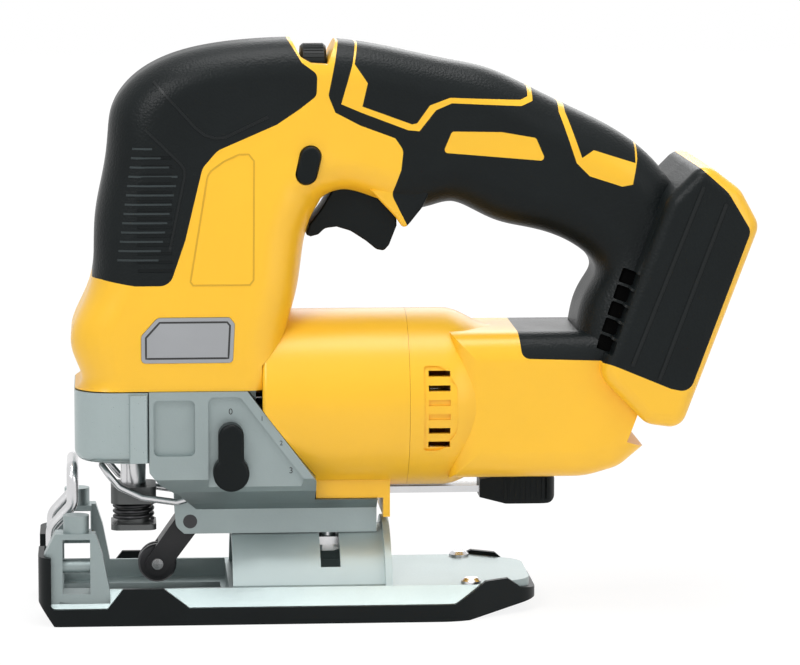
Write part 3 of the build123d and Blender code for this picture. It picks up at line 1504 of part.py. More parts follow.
knob_shape = side_prism(knob_side, -knob_half_width, knob_half_width, [(3, 3.0), (4, 3.0)])
with BuildPart() as lever_grip:
    add(plan_prism(knob_plan, knob_base_z, knob_top_z, [(2, 6.0), (3, 6.0), (1, 6.0), (4, 6.0)]))
    add(knob_shape, mode=Mode.INTERSECT)
    add(bevel_lever.part, mode=Mode.SUBTRACT)
save(lever_grip.part, "bevel_lever_grip")

# Trigger, switch, lock button, dial and the electrics
trigger_outline = [
    (7.4, 137.0),
    (6.1, 133.4),
    (7.9, 132.7),
    (10.6, 133.4),
    (12.9, 135.6),
    (17.0, 136.1),
    (21.9, 134.6),
    (27.4, 131.0),
    (31.0, 128.0),
    (33.7, 127.5),
    (35.5, 129.5),
    (38.2, 136.4),
    (38.0, 150.0),
    (16.0, 150.0),
    (12.0, 143.0),
]
trigger_corners = [(1, 0.8), (3, 2.0), (4, 3.0), (6, 6.0), (8, 3.0), (9, 1.5), (10, 2.0)]
with BuildPart() as trigger:
    add(side_prism(trigger_outline, -trigger_half_width, trigger_half_width, trigger_corners))
    fillet(trigger.faces().filter_by(Axis.Y).edges(), 0.8)
    add(round_bar(tuple(stem_foot), tuple(stem_head), trigger_stem_radius))
save(trigger.part, "trigger")
with BuildPart() as switch_module:
    add(block(
        (switch_front_x, -switch_half_width, switch_base_z), (switch_rear_x, switch_half_width, switch_top_z)
    ))
    chamfer(switch_module.edges().filter_by(Axis.Y), 1.5)
    add(round_bar(tuple(stem_foot), tuple(bore_end), trigger_stem_radius + shaft_gap), mode=Mode.SUBTRACT)
save(switch_module.part, "switch_module")

with BuildPart() as lock_button:
    with BuildSketch(Plane.XZ.offset(-lock_end_y)):
        with Locations(Location((lock_x, lock_z), 90.0 - lock_lean)):
            SlotOverall(lock_length, lock_width)
    extrude(amount=2 * lock_end_y)
    fillet(lock_button.faces().filter_by(Axis.Y).edges(), 1.0)
save(lock_button.part, "lock_button")

with BuildPart() as speed_dial:
    dial_bore = dial_shaft_radius + shaft_gap
    add(ring(dial_x - dial_width / 2, dial_x + dial_width / 2, dial_z, dial_radius, dial_bore))
    chamfer(speed_dial.edges().filter_by(GeomType.CIRCLE).group_by(SortBy.RADIUS)[-1], 0.8)
save(speed_dial.part, "speed_dial")
with BuildPart() as dial_potentiometer:
    add(block((pot_front_x, -6.0, 184.0), (pot_front_x + 7.0, 6.0, 195.0)))
    add(ring(dial_x - dial_width / 2 + 1.0, pot_front_x, dial_z, dial_shaft_radius, 0))
save(dial_potentiometer.part, "dial_potentiometer")
control_module = block((77.0, -20.0, body_floor_z), (99.5, 20.0, 84.0))
save(control_module, "control_module")

with BuildPart() as terminal_block:
    with BuildSketch(foot_plane.offset(-bay_depth)):
        with Locations((0, 11.0)):
            Rectangle(42.0, 18.0)
    extrude(amount=terminal_block_height)
save(terminal_block.part, "terminal_block")
with BuildPart() as battery_terminals:
    with BuildSketch(foot_plane.offset(terminal_block_height - bay_depth)):
        with GridLocations(10.0, 0, terminal_count, 1):
            with Locations((0, 11.0)):
                Rectangle(1.0, 12.0)
    extrude(amount=6.0)
save(battery_terminals.part, "battery_terminals")
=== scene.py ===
import json
import math

import bpy
from mathutils import Matrix, Vector
from mathutils.bvhtree import BVHTree


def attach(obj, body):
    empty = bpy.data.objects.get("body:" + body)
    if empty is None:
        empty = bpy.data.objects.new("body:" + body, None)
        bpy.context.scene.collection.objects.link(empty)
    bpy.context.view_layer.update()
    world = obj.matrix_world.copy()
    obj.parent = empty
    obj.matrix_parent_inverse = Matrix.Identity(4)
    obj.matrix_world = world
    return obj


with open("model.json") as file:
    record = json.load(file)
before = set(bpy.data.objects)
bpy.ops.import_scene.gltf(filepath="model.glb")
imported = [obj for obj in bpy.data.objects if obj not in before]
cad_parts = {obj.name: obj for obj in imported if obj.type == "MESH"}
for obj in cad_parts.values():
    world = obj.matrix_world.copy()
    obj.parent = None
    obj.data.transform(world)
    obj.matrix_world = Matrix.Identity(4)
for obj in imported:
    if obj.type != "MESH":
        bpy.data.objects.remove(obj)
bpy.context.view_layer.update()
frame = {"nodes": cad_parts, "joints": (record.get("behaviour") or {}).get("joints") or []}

bl_info = {
    "name": "Cordless Jigsaw Looks",
    "version": (1, 0, 0),
    "blender": (4, 5, 0),
    "location": "View3D > Sidebar > Jigsaw",
    "description": "Materials, small details and stage for the packed jigsaw",
    "category": "Object",
}

# Places and sizes of the saw's pieces are in mm, and this makes them m
MM = 0.001

# The saw's two sides: their way out along Y and the word in their pieces' names
SIDES = ((-1, "left"), (1, "right"))

# Rays that find the saw's outside start this far out
CAST_START_Y = 60.0

# Low beads on the saw's sides: how far they are sunk, their top's share of the width, usual height and step
BEAD_SINK = 0.15
BEAD_TOP_SHARE = 0.8
BEAD_HEIGHT = 0.12
BEAD_STEP = 1.0

# Casing: outlines as (x, z) and the beads along them
COLUMN_LINE = (
    (-34.8, 119.2), (-28.6, 155.6), (-27.4, 157.5), (-22.8, 160.8), (-17.6, 163.1),
    (-14.2, 163.1), (-12.4, 160.8), (-12.9, 119.7), (-14.2, 118.0), (-33.9, 118.0),
)
BADGE_LINE = ((-50.4, 92.6), (-50.4, 99.9), (-45.6, 105.2), (-22.2, 105.2), (-21.2, 104.0), (-21.8, 92.6))
BADGE_LINE_WIDTH, BADGE_LINE_HEIGHT = 0.8, 0.06

# Casing screws in the right side as (x, z), and the lobed recess in each head, shown as a near-black plate
# of painted shade
SCREWS = ((-14.0, 158.0), (70.0, 165.6), (112.0, 156.9), (105.0, 72.0), (72.0, 60.0))
RECESS_POINTS, RECESS_LOBES = 24, 6
RECESS_RADIUS, RECESS_LOBE_HEIGHT = 1.45, 0.22
RECESS_LIFT, RECESS_THICKNESS = 0.05, 0.2

# Front grip: its ribs, the lines that they end on, and its two raised edges
RIB_BASE, RIB_PITCH = 126.8, 3.2
RIB_FRONT = ((-60.0, 126.8), (-55.9, 155.4))
RIB_BACK = ((-45.8, 126.8), (-38.8, 155.4))
RIB_TOP = ((-38.8, 155.4), (-47.6, 165.1))
RIB_WIDTH, RIB_HEIGHT, RIB_STEP = 0.8, 0.2, 0.8
FACET_LINE = ((-50.2, 172.0), (-37.9, 160.0), (-36.6, 157.9), (-36.6, 155.5), (-42.0, 129.6))
THUMB_LINE = ((-47.1, 188.3), (-32.8, 172.5), (-29.4, 169.8), (-25.9, 168.7), (-22.4, 169.0), (-7.4, 175.9))
GRIP_EDGE_WIDTH, GRIP_EDGE_HEIGHT = 1.0, 0.25

# Battery foot and rear leg: lines as (x, z), and the near-black plate of painted shade below the louvres as
# (x, distance out, z)
FOOT_LINES = (((143.0, 152.0), (118.5, 89.5)), ((128.0, 84.5), (133.0, 98.0), (151.0, 146.0)))
FOOT_LINE_WIDTH, FOOT_LINE_HEIGHT = 1.6, 0.3
LOUVRE_CORNERS = ((106.4, 25.0, 93.9), (111.8, 26.0, 92.0), (122.2, 21.9, 121.5), (116.8, 20.8, 123.4))
LOUVRE_PLATE = 0.3

# Ridges round the speed dial
DIAL_RIDGE_RADIUS = 9.9
DIAL_RIDGE_SIZE = (0.5, 0.7, 7.0)

# Orbit figures from 0 on: distance from the lever's axis, the plane that they stand in (y) and size
POCKET_FIGURE_Y, FACE_FIGURE_Y = -27.62, -30.03
ORBIT_FIGURES = (
    (21.0, POCKET_FIGURE_Y, 3.0),
    (21.7, FACE_FIGURE_Y, 2.4),
    (20.2, FACE_FIGURE_Y, 2.4),
    (21.0, POCKET_FIGURE_Y, 3.0),
)
ORBIT_STEP = math.radians(30.0)
FIGURE_HALF_THICKNESS = 0.06

# Ribs on both faces of the bevel lever's knob, from the first one back
KNOB_RIB_START_X, KNOB_RIB_FACE_Y, KNOB_RIB_Z = 77.0, 9.0, 41.9
KNOB_RIB_PITCH = 1.9
KNOB_RIB_SIZE = (0.9, 0.5, 7.6)

# Finishes: how far the gloss of a moulded surface varies, and its smoothest
GLOSS_SPREAD = 0.06
SMOOTHEST = 0.02

# Stage, in m and W: lamps as name, place, size and power
LAMPS = (
    ("key", (-0.55, -0.9, 0.95), 0.5, 7.0),
    ("fill", (0.85, -0.8, 0.45), 0.7, 2.6),
    ("top", (0.05, -0.05, 1.1), 0.6, 7.0),
    ("rim", (0.3, 0.9, 0.6), 0.6, 3.0),
)
LAMP_AIM = (0.04, 0.0, 0.1)
WHITE = (1, 1, 1, 1)
WORLD_STRENGTH = 0.26
FLOOR_HALF = 3.0
FLOOR_COLOUR = (0.93, 0.93, 0.93, 1)
FLOOR_GLOW = 1.04
FLOOR_GLOW_SHARE = 0.84
FLOOR_FADE_START, FLOOR_FADE_END = 0.2, 0.6
SENSOR_WIDTH = 36.0
VIEW_END = 20.0


class JigsawLooks(bpy.types.PropertyGroup):
    """Looks that are set once for the whole saw"""

    yellow: bpy.props.FloatVectorProperty(
        name="Casing", description="Colour of the moulded casing",
        size=3, subtype="COLOR", default=(0.95, 0.53, 0.022),
    )
    black: bpy.props.FloatVectorProperty(
        name="Grips", description="Colour of the soft grips and black plastics",
        size=3, subtype="COLOR", default=(0.0040, 0.0058, 0.0062),
    )
    silver: bpy.props.FloatVectorProperty(
        name="Castings", description="Colour of the cast and machined aluminium",
        size=3, subtype="COLOR", default=(0.31, 0.365, 0.365),
    )
    grain: bpy.props.FloatProperty(
        name="Grain", description="Depth of the grain on plastics, rubber and bare metal, as a factor",
        subtype="FACTOR", default=1.0, min=0.0, max=3.0,
    )
    line_width: bpy.props.FloatProperty(
        name="Panel line", description="Width of the line round the column's panel",
        subtype="DISTANCE", default=0.7 * MM, min=0.2 * MM, max=2.0 * MM,
    )
    knob_ribs: bpy.props.IntProperty(
        name="Knob ribs", description="Ribs on each face of the bevel lever's knob",
        default=9, min=3, max=20,
    )
    grip_ribs: bpy.props.IntProperty(
        name="Grip ribs", description="Ribs on each side of the front grip",
        default=13, min=2, max=20,
    )
    dial_ridges: bpy.props.IntProperty(
        name="Dial ridges", description="Ridges round the speed dial",
        default=40, min=8, max=80,
    )


class JigsawStage(bpy.types.PropertyGroup):
    """Camera and light of the product picture"""

    azimuth: bpy.props.FloatProperty(
        name="Azimuth", description="Turn of the camera about Z, from the saw's left side",
        subtype="ANGLE", default=math.radians(-4.0),
    )
    elevation: bpy.props.FloatProperty(
        name="Elevation", description="Rise of the camera above the level",
        subtype="ANGLE", default=math.radians(7.5),
    )
    distance: bpy.props.FloatProperty(
        name="Distance", description="From the camera to its target",
        subtype="DISTANCE", default=1.5,
    )
    target: bpy.props.FloatVectorProperty(
        name="Target", description="Point that the camera looks at",
        size=3, subtype="TRANSLATION", default=(0.040, 0.0, 0.0972),
    )
    lens: bpy.props.FloatProperty(
        name="Lens", description="Focal length of the camera",
        unit="CAMERA", default=190.0,
    )
    light: bpy.props.FloatProperty(
        name="Light", description="Level of all lamps and of the surround, as a factor",
        subtype="FACTOR", default=1.0, min=0.1, max=4.0,
    )


def looks():
    return bpy.context.scene.jigsaw_looks


def node(name):
    return frame["nodes"][name]


def joint_place(name):
    """Place of a joint of the frame, in mm."""
    joint = next(item for item in frame["joints"] if item["name"] == name)
    return tuple(value / MM for value in joint["pos_m"])


def connect(tree, target, inputs):
    """Links each input of a node, by name or number, to a socket, or sets it to a value."""
    for name, value in inputs.items():
        if isinstance(value, bpy.types.NodeSocket):
            tree.links.new(value, target.inputs[name])
        else:
            target.inputs[name].default_value = value


def add_node(tree, kind, inputs, **settings):
    """New node with its settings and inputs."""
    made = tree.nodes.new(kind)
    for name, value in settings.items():
        setattr(made, name, value)
    connect(tree, made, inputs)
    return made


def new_material(name):
    """Plain node material with its tree, its shader and object coordinates."""
    material = bpy.data.materials.new(name)
    material.use_nodes = True
    tree = material.node_tree
    shader = tree.nodes["Principled BSDF"]
    coords = add_node(tree, "ShaderNodeTexCoord", {}).outputs["Object"]
    return material, tree, shader, coords


def shade(colour, factor):
    """Colour made darker or paler, up to full strength."""
    return tuple(min(1.0, c * factor) for c in colour)


def two_colours(tree, factor, low, high, start=0.0, end=1.0):
    """Colour socket that runs from low to high as a factor rises from start to end."""
    ramp = add_node(tree, "ShaderNodeValToRGB", {"Fac": factor})
    first, last = ramp.color_ramp.elements
    first.position, last.position = start, end
    first.color, last.color = (*low, 1), (*high, 1)
    return ramp.outputs["Color"]


def moulded(
    label, colour, roughness, metallic=0.0, grain=1500.0, depth=0.04, vary=0.06,
    stretch=(1, 1, 1), coat=0.0, shine=0.5,
):
    """Surface with a colour that drifts a little, uneven gloss and a fine grain, its depth in mm."""
    material, tree, shader, coords = new_material(label)
    drift = add_node(tree, "ShaderNodeTexNoise", {"Vector": coords, "Scale": 35.0, "Detail": 3.0})
    stretched = add_node(tree, "ShaderNodeMapping", {"Vector": coords, "Scale": stretch}).outputs["Vector"]
    grains = {"Vector": stretched, "Scale": grain, "Detail": 2.0}
    fine = add_node(tree, "ShaderNodeTexNoise", grains).outputs["Fac"]
    gloss = add_node(tree, "ShaderNodeMapRange", {
        "Value": fine,
        "To Min": max(SMOOTHEST, roughness - GLOSS_SPREAD),
        "To Max": min(1.0, roughness + GLOSS_SPREAD),
    })
    relief = {"Height": fine, "Strength": 0.6, "Distance": depth * MM * looks().grain}
    low, high = shade(colour, 1 - vary), shade(colour, 1 + vary)
    connect(tree, shader, {
        "Base Color": two_colours(tree, drift.outputs["Fac"], low, high, start=0.3, end=0.7),
        "Roughness": gloss.outputs["Result"],
        "Normal": add_node(tree, "ShaderNodeBump", relief).outputs["Normal"],
        "Metallic": metallic,
        "Specular IOR Level": shine,
        "Coat Weight": coat,
        "Coat Roughness": 0.25,
    })
    return material


def pebbled(label, colour, roughness, cell=1100.0, depth=0.12):
    """Soft rubber with a pebbled skin, its depth in mm."""
    material, tree, shader, coords = new_material(label)
    cells = add_node(tree, "ShaderNodeTexVoronoi", {"Vector": coords, "Scale": cell, "Randomness": 0.9})
    patches = {"Vector": coords, "Scale": 60.0, "Detail": 4.0}
    wear = add_node(tree, "ShaderNodeTexNoise", patches).outputs["Fac"]
    gloss_ends = {"Value": wear, "To Min": roughness - 0.05, "To Max": roughness + 0.08}
    gloss = add_node(tree, "ShaderNodeMapRange", gloss_ends)
    relief = {"Height": cells.outputs["Distance"], "Strength": 0.7, "Distance": depth * MM * looks().grain}
    tints = {"Factor": wear, "A": (*colour, 1), "B": (*shade(colour, 1.6), 1)}
    connect(tree, shader, {
        "Base Color": add_node(tree, "ShaderNodeMix", tints, data_type="RGBA").outputs["Result"],
        "Roughness": gloss.outputs["Result"],
        "Normal": add_node(tree, "ShaderNodeBump", relief, invert=True).outputs["Normal"],
        "Specular IOR Level": 0.16,
    })
    return material


def wound(label, colour, depth=0.3):
    """Enamelled wire laid side by side, its depth in mm."""
    material, tree, shader, coords = new_material(label)
    turns = {"Vector": coords, "Scale": 900.0, "Distortion": 0.6}
    wave = add_node(tree, "ShaderNodeTexWave", turns).outputs["Fac"]
    relief = {"Height": wave, "Distance": depth * MM}
    # The colour darkens into the troughs between the turns, following the bump: painted shade
    connect(tree, shader, {
        "Base Color": two_colours(tree, wave, shade(colour, 0.45), colour),
        "Normal": add_node(tree, "ShaderNodeBump", relief).outputs["Normal"],
        "Metallic": 0.9,
        "Roughness": 0.32,
    })
    return material


def yellow_nylon(label):
    return moulded(label, looks().yellow, roughness=0.36, grain=2200.0, depth=0.03, vary=0.02, coat=0.12)


# Casing yellow darkened for the line round the column's panel: painted shade of a groove
def yellow_groove(label):
    return moulded(label, shade(looks().yellow, 0.68), roughness=0.5, vary=0.04)


def soft_grip(label):
    return pebbled(label, looks().black, roughness=0.38)


def smooth_grip(label):
    return moulded(label, shade(looks().black, 1.1), roughness=0.38, grain=1800.0, vary=0.15, shine=0.25)


# Black made five times paler for the front grip's rib beads: painted highlight along the ribs
def rib_edge(label):
    return moulded(label, shade(looks().black, 5.0), roughness=0.34, grain=1800.0, vary=0.1, shine=0.4)


def black_nylon(label):
    return moulded(label, shade(looks().black, 1.2), roughness=0.4, grain=1600.0, vary=0.15, shine=0.14)


def gap_shadow(label):
    return moulded(label, (0.002, 0.002, 0.002), roughness=0.8, vary=0.1, shine=0.03)


def dark_mark(label):
    return moulded(label, (0.02, 0.02, 0.02), roughness=0.5, vary=0.1)


def cast_aluminium(label):
    return moulded(
        label, looks().silver, roughness=0.42, metallic=0.78, grain=1300.0, depth=0.07, vary=0.05
    )


def satin_casting(label):
    return moulded(label, shade(looks().silver, 1.2), roughness=0.3, metallic=0.75, grain=1700.0, vary=0.03)


def machined_aluminium(label):
    """Milled along X."""
    colour = shade(looks().silver, 1.4)
    return moulded(
        label, colour, roughness=0.46, metallic=0.45,
        grain=500.0, depth=0.03, vary=0.04, stretch=(0.04, 1, 1),
    )


def badge_metal(label):
    """Brushed along X."""
    colour = (0.36, 0.37, 0.385)
    return moulded(
        label, colour, roughness=0.34, metallic=0.85,
        grain=700.0, depth=0.03, vary=0.04, stretch=(0.05, 1, 1),
    )


def bright_steel(label):
    """Drawn along Z."""
    colour = (0.66, 0.66, 0.67)
    return moulded(
        label, colour, roughness=0.22, metallic=1.0,
        grain=900.0, depth=0.02, vary=0.05, stretch=(1, 1, 0.06),
    )


def clamp_steel(label):
    return moulded(label, (0.12, 0.125, 0.125), roughness=0.4, metallic=0.7, grain=900.0, vary=0.15)


def dark_steel(label):
    return moulded(label, (0.055, 0.055, 0.058), roughness=0.38, metallic=0.8, grain=900.0, vary=0.2)


def black_oxide(label):
    return moulded(label, (0.03, 0.03, 0.032), roughness=0.42, metallic=0.6, grain=1200.0, vary=0.2)


def bronze(label):
    return moulded(label, (0.55, 0.36, 0.16), roughness=0.35, metallic=0.9, grain=1500.0, vary=0.1)


def copper_wire(label):
    return wound(label, (0.62, 0.27, 0.12))


def look(finish):
    """Material of a finish, made on its first use and named apart from the frame's own materials."""
    label = f"look_{finish.__name__}"
    return bpy.data.materials.get(label) or finish(label)


def dress(finish, *names):
    """Gives CAD nodes a finish."""
    for name in names:
        mesh = node(name).data
        mesh.materials.clear()
        mesh.materials.append(look(finish))


def surface(*names):
    """Search tree over CAD nodes, for finding their faces."""
    points, faces = [], []
    for name in names:
        mesh = node(name).data
        base = len(points)
        points += [v.co.copy() for v in mesh.vertices]
        faces += [[base + i for i in p.vertices] for p in mesh.polygons]
    return BVHTree.FromPolygons(points, faces)


def side_hit(tree, x, z, side):
    """Point and normal on the outside of the saw's left (-1) or right (+1) side, x and z in mm."""
    start = Vector((x, side * CAST_START_Y, z)) * MM
    point, normal, _, _ = tree.ray_cast(start, Vector((0, -side, 0)))
    return point, normal


def keep(name, mesh, body):
    """New piece from a finished mesh, riding on a body."""
    mesh.name = name
    piece = bpy.data.objects.new(name, mesh)
    bpy.context.scene.collection.objects.link(piece)
    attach(piece, body)
    return piece


def keep_faces(name, points, faces, finish, body):
    """New piece from points in m and faces."""
    mesh = bpy.data.meshes.new(name)
    mesh.from_pydata([tuple(p) for p in points], [], faces)
    mesh.update()
    mesh.materials.append(look(finish))
    return keep(name, mesh, body)


def walk(outline, closed, step):
    """Places along an outline, about one step apart."""
    ends = list(outline) + ([outline[0]] if closed else [])
    places = []
    for (x0, z0), (x1, z1) in zip(ends, ends[1:]):
        count = max(1, int(math.hypot(x1 - x0, z1 - z0) / step))
        places += [(x0 + (x1 - x0) * i / count, z0 + (z1 - z0) * i / count) for i in range(count)]
    return places if closed else places + [ends[-1]]


def bead(hits, width, height, closed, base):
    """Points and faces of one low solid bead along hits on a surface, its points counted from a base."""
    total = len(hits)
    points, faces = [], []
    for i, (point, normal) in enumerate(hits):
        before = hits[i - 1][0] if closed or i else point
        after = hits[(i + 1) % total][0] if closed or i < total - 1 else point
        across = (after - before).normalized().cross(normal).normalized() * width * MM / 2
        top, foot = normal * height * MM, normal * -BEAD_SINK * MM
        points += [
            point - across + foot,
            point - across * BEAD_TOP_SHARE + top,
            point + across * BEAD_TOP_SHARE + top,
            point + across + foot,
        ]
    for i in range(total if closed else total - 1):
        low, high = base + 4 * i, base + 4 * ((i + 1) % total)
        faces += [(low + k, low + (k + 1) % 4, high + (k + 1) % 4, high + k) for k in range(4)]
    if not closed:
        last = base + 4 * (total - 1)
        faces += [(base + 3, base + 2, base + 1, base), (last, last + 1, last + 2, last + 3)]
    return points, faces


def beads(name, tree, outlines, side, finish, width, height, closed=False, step=BEAD_STEP):
    """Low beads laid on the side of the saw along outlines (x, z), as one piece."""
    points, faces = [], []
    for outline in outlines:
        hits = [side_hit(tree, x, z, side) for x, z in walk(outline, closed, step)]
        hits = [hit for hit in hits if hit[0] is not None]
        bead_points, bead_faces = bead(hits, width, height, closed, len(points))
        points += bead_points
        faces += bead_faces
    return keep_faces(name, points, faces, finish, "saw")


def slab(outline, inward, base=0):
    """Points and faces of a thin solid plate, its outline counter-clockwise seen from outside."""
    count = len(outline)
    points = list(outline) + [p + inward for p in outline]
    front = tuple(base + i for i in range(count))
    back = tuple(base + 2 * count - 1 - i for i in range(count))
    faces = [front, back]
    for i in range(count):
        after = (i + 1) % count
        faces.append((base + i, base + count + i, base + count + after, base + after))
    return points, faces


def lobed_outline(middle):
    """Six-lobed outline about a point of the saw's right side, in m."""
    outline = []
    for i in range(RECESS_POINTS):
        angle = 2 * math.pi * i / RECESS_POINTS
        reach = (RECESS_RADIUS + RECESS_LOBE_HEIGHT * math.cos(RECESS_LOBES * angle)) * MM
        outline.append(middle + Vector((reach * math.cos(angle), 0, -reach * math.sin(angle))))
    return outline


def screw_recesses(name, tree):
    """Near-black lobed plate on each screw head in the saw's right side: painted shade standing in for its
    drive recess.
    """
    points, faces = [], []
    for x, z in SCREWS:
        middle, normal = side_hit(tree, x, z, 1)
        outline = lobed_outline(middle + normal * RECESS_LIFT * MM)
        plate_points, plate_faces = slab(outline, normal * -RECESS_THICKNESS * MM, len(points))
        points += plate_points
        faces += plate_faces
    return keep_faces(name, points, faces, gap_shadow, "saw")


def louvre_backing(name, side):
    """Near-black plate across the bottom of the louvres of the rear leg: painted shade in the openings."""
    corners = [Vector((x, side * out, z)) * MM for x, out, z in LOUVRE_CORNERS]
    inward = Vector((0, -side * LOUVRE_PLATE * MM, 0))
    points, faces = slab(corners if side < 0 else corners[::-1], inward)
    return keep_faces(name, points, faces, gap_shadow, "saw")


def line_x(line, z):
    """Place along X where a straight line through two points (x, z) passes a height."""
    (x0, z0), (x1, z1) = line
    return x0 + (x1 - x0) * (z - z0) / (z1 - z0)


def grip_rib(index):
    """Ends of one rib of the front grip as (x, z), the lowest rib first."""
    z = RIB_BASE + RIB_PITCH * index
    return (line_x(RIB_FRONT, z), z), (min(line_x(RIB_BACK, z), line_x(RIB_TOP, z)), z)


BAR_RING_INPUTS = {
    "Count": "NodeSocketInt",
    "Radius": "NodeSocketFloat",
    "Step": "NodeSocketFloat",
    "Spread": "NodeSocketVector",
    "Size": "NodeSocketVector",
    "Turn": "NodeSocketVector",
    "Move": "NodeSocketVector",
    "Material": "NodeSocketMaterial",
}


def bar_ring_tree():
    """Node tree: bars set round a circle about Z or along a row, then turned and moved into place."""
    found = bpy.data.node_groups.get("bar_ring")
    if found:
        return found
    tree = bpy.data.node_groups.new("bar_ring", "GeometryNodeTree")
    for name, kind in BAR_RING_INPUTS.items():
        tree.interface.new_socket(name=name, in_out="INPUT", socket_type=kind)
    tree.interface.new_socket(name="Geometry", in_out="OUTPUT", socket_type="NodeSocketGeometry")
    given = add_node(tree, "NodeGroupInput", {}).outputs
    index = add_node(tree, "GeometryNodeInputIndex", {}).outputs[0]
    steps = {0: index, 1: given["Step"]}
    angle = add_node(tree, "ShaderNodeMath", steps, operation="MULTIPLY").outputs[0]
    ring = add_node(tree, "ShaderNodeCombineXYZ", {})
    for operation, axis in (("COSINE", "X"), ("SINE", "Y")):
        wave = add_node(tree, "ShaderNodeMath", {0: angle}, operation=operation).outputs[0]
        reach = add_node(tree, "ShaderNodeMath", {0: wave, 1: given["Radius"]}, operation="MULTIPLY")
        connect(tree, ring, {axis: reach.outputs[0]})
    row = {0: index, 1: given["Spread"], 2: ring.outputs[0]}
    place = add_node(tree, "ShaderNodeVectorMath", row, operation="MULTIPLY_ADD").outputs[0]
    line = add_node(tree, "GeometryNodeMeshLine", {"Count": given["Count"]}).outputs["Mesh"]
    puts = {"Geometry": line, "Position": place}
    spots = add_node(tree, "GeometryNodeSetPosition", puts).outputs["Geometry"]
    spin = add_node(tree, "ShaderNodeCombineXYZ", {"Z": angle}).outputs[0]
    facing = add_node(tree, "FunctionNodeEulerToRotation", {0: spin}).outputs[0]
    bar = add_node(tree, "GeometryNodeMeshCube", {"Size": given["Size"]}).outputs["Mesh"]
    copies = {"Points": spots, "Instance": bar, "Rotation": facing}
    bars = add_node(tree, "GeometryNodeInstanceOnPoints", copies).outputs["Instances"]
    solid = add_node(tree, "GeometryNodeRealizeInstances", {"Geometry": bars}).outputs["Geometry"]
    lean = add_node(tree, "FunctionNodeEulerToRotation", {0: given["Turn"]}).outputs[0]
    moves = {"Geometry": solid, "Rotation": lean, "Translation": given["Move"]}
    moved = add_node(tree, "GeometryNodeTransform", moves).outputs["Geometry"]
    paint = {"Geometry": moved, "Material": given["Material"]}
    painted = add_node(tree, "GeometryNodeSetMaterial", paint).outputs["Geometry"]
    add_node(tree, "NodeGroupOutput", {"Geometry": painted})
    return tree


def plain_mesh(holder):
    """Mesh of a helper object as evaluated; the helper is removed."""
    bpy.context.scene.collection.objects.link(holder)
    graph = bpy.context.evaluated_depsgraph_get()
    mesh = bpy.data.meshes.new_from_object(holder.evaluated_get(graph))
    holder.modifiers.clear()
    bpy.data.objects.remove(holder)
    return mesh


def bar_ring(
    name, finish, body, count, size, move, radius=0.0, step=0.0,
    spread=(0.0, 0.0, 0.0), turn=(0.0, 0.0, 0.0),
):
    """Bars round a ring or along a row, as one piece; lengths in mm, angles in radians."""
    tree = bar_ring_tree()
    holder = bpy.data.objects.new(name + "_source", bpy.data.meshes.new(name + "_source"))
    modifier = holder.modifiers.new("ring", "NODES")
    modifier.node_group = tree
    values = {
        "Count": count,
        "Radius": radius * MM,
        "Step": step,
        "Spread": tuple(v * MM for v in spread),
        "Size": tuple(v * MM for v in size),
        "Turn": turn,
        "Move": tuple(v * MM for v in move),
        "Material": look(finish),
    }
    for item in tree.interface.items_tree:
        if item.in_out == "INPUT":
            modifier[item.identifier] = values[item.name]
    holder.update_tag()
    return keep(name, plain_mesh(holder), body)


def numeral(name, text, place, size, finish, body):
    """Plain figure on the saw's left side, as a thin mesh at a place in mm."""
    curve = bpy.data.curves.new(name + "_curve", "FONT")
    curve.body = text
    curve.align_x = "CENTER"
    curve.align_y = "CENTER"
    curve.size = size * MM
    curve.extrude = FIGURE_HALF_THICKNESS * MM
    mesh = plain_mesh(bpy.data.objects.new(name + "_source", curve))
    upright = Matrix.Rotation(math.pi / 2, 4, "X")
    mesh.transform(Matrix.Translation([v * MM for v in place]) @ upright)
    mesh.materials.clear()
    mesh.materials.append(look(finish))
    return keep(name, mesh, body)


def seen_rays(tree):
    """Socket that is 1 for rays from the camera, from glossy faces and through clear ones."""
    path = add_node(tree, "ShaderNodeLightPath", {}).outputs
    total = path["Is Camera Ray"]
    for name in ("Is Glossy Ray", "Is Transmission Ray"):
        total = add_node(tree, "ShaderNodeMath", {0: total, 1: path[name]}, operation="MAXIMUM").outputs[0]
    return total


def white_surround(scene, light):
    """World that is white to look at and lights the saw softly."""
    world = bpy.data.worlds.new("studio")
    scene.world = world
    world.use_nodes = True
    tree = world.node_tree
    fill = tree.nodes["Background"]
    connect(tree, fill, {"Color": WHITE, "Strength": WORLD_STRENGTH * light})
    white = add_node(tree, "ShaderNodeBackground", {"Color": WHITE, "Strength": 1.0})
    parts = {"Fac": seen_rays(tree), 1: fill.outputs[0], 2: white.outputs[0]}
    mix = add_node(tree, "ShaderNodeMixShader", parts)
    connect(tree, tree.nodes["World Output"], {"Surface": mix.outputs[0]})


def floor_material():
    """Pale floor that keeps the saw's shadow and fades to plain white away from it."""
    material, tree, shader, coords = new_material("pale_floor")
    connect(tree, shader, {"Base Color": FLOOR_COLOUR, "Roughness": 0.9})
    glow = add_node(tree, "ShaderNodeEmission", {"Color": WHITE, "Strength": FLOOR_GLOW})
    fade = {
        "Value": add_node(tree, "ShaderNodeVectorMath", {0: coords}, operation="LENGTH").outputs["Value"],
        "From Min": FLOOR_FADE_START,
        "From Max": FLOOR_FADE_END,
        "To Min": FLOOR_GLOW_SHARE,
        "To Max": 1.0,
    }
    faded = add_node(tree, "ShaderNodeMapRange", fade).outputs["Result"]
    shares = {0: seen_rays(tree), 1: faded}
    share = add_node(tree, "ShaderNodeMath", shares, operation="MULTIPLY").outputs[0]
    blend = add_node(tree, "ShaderNodeMixShader", {"Fac": share, 1: shader.outputs[0], 2: glow.outputs[0]})
    connect(tree, tree.nodes["Material Output"], {"Surface": blend.outputs[0]})
    return material


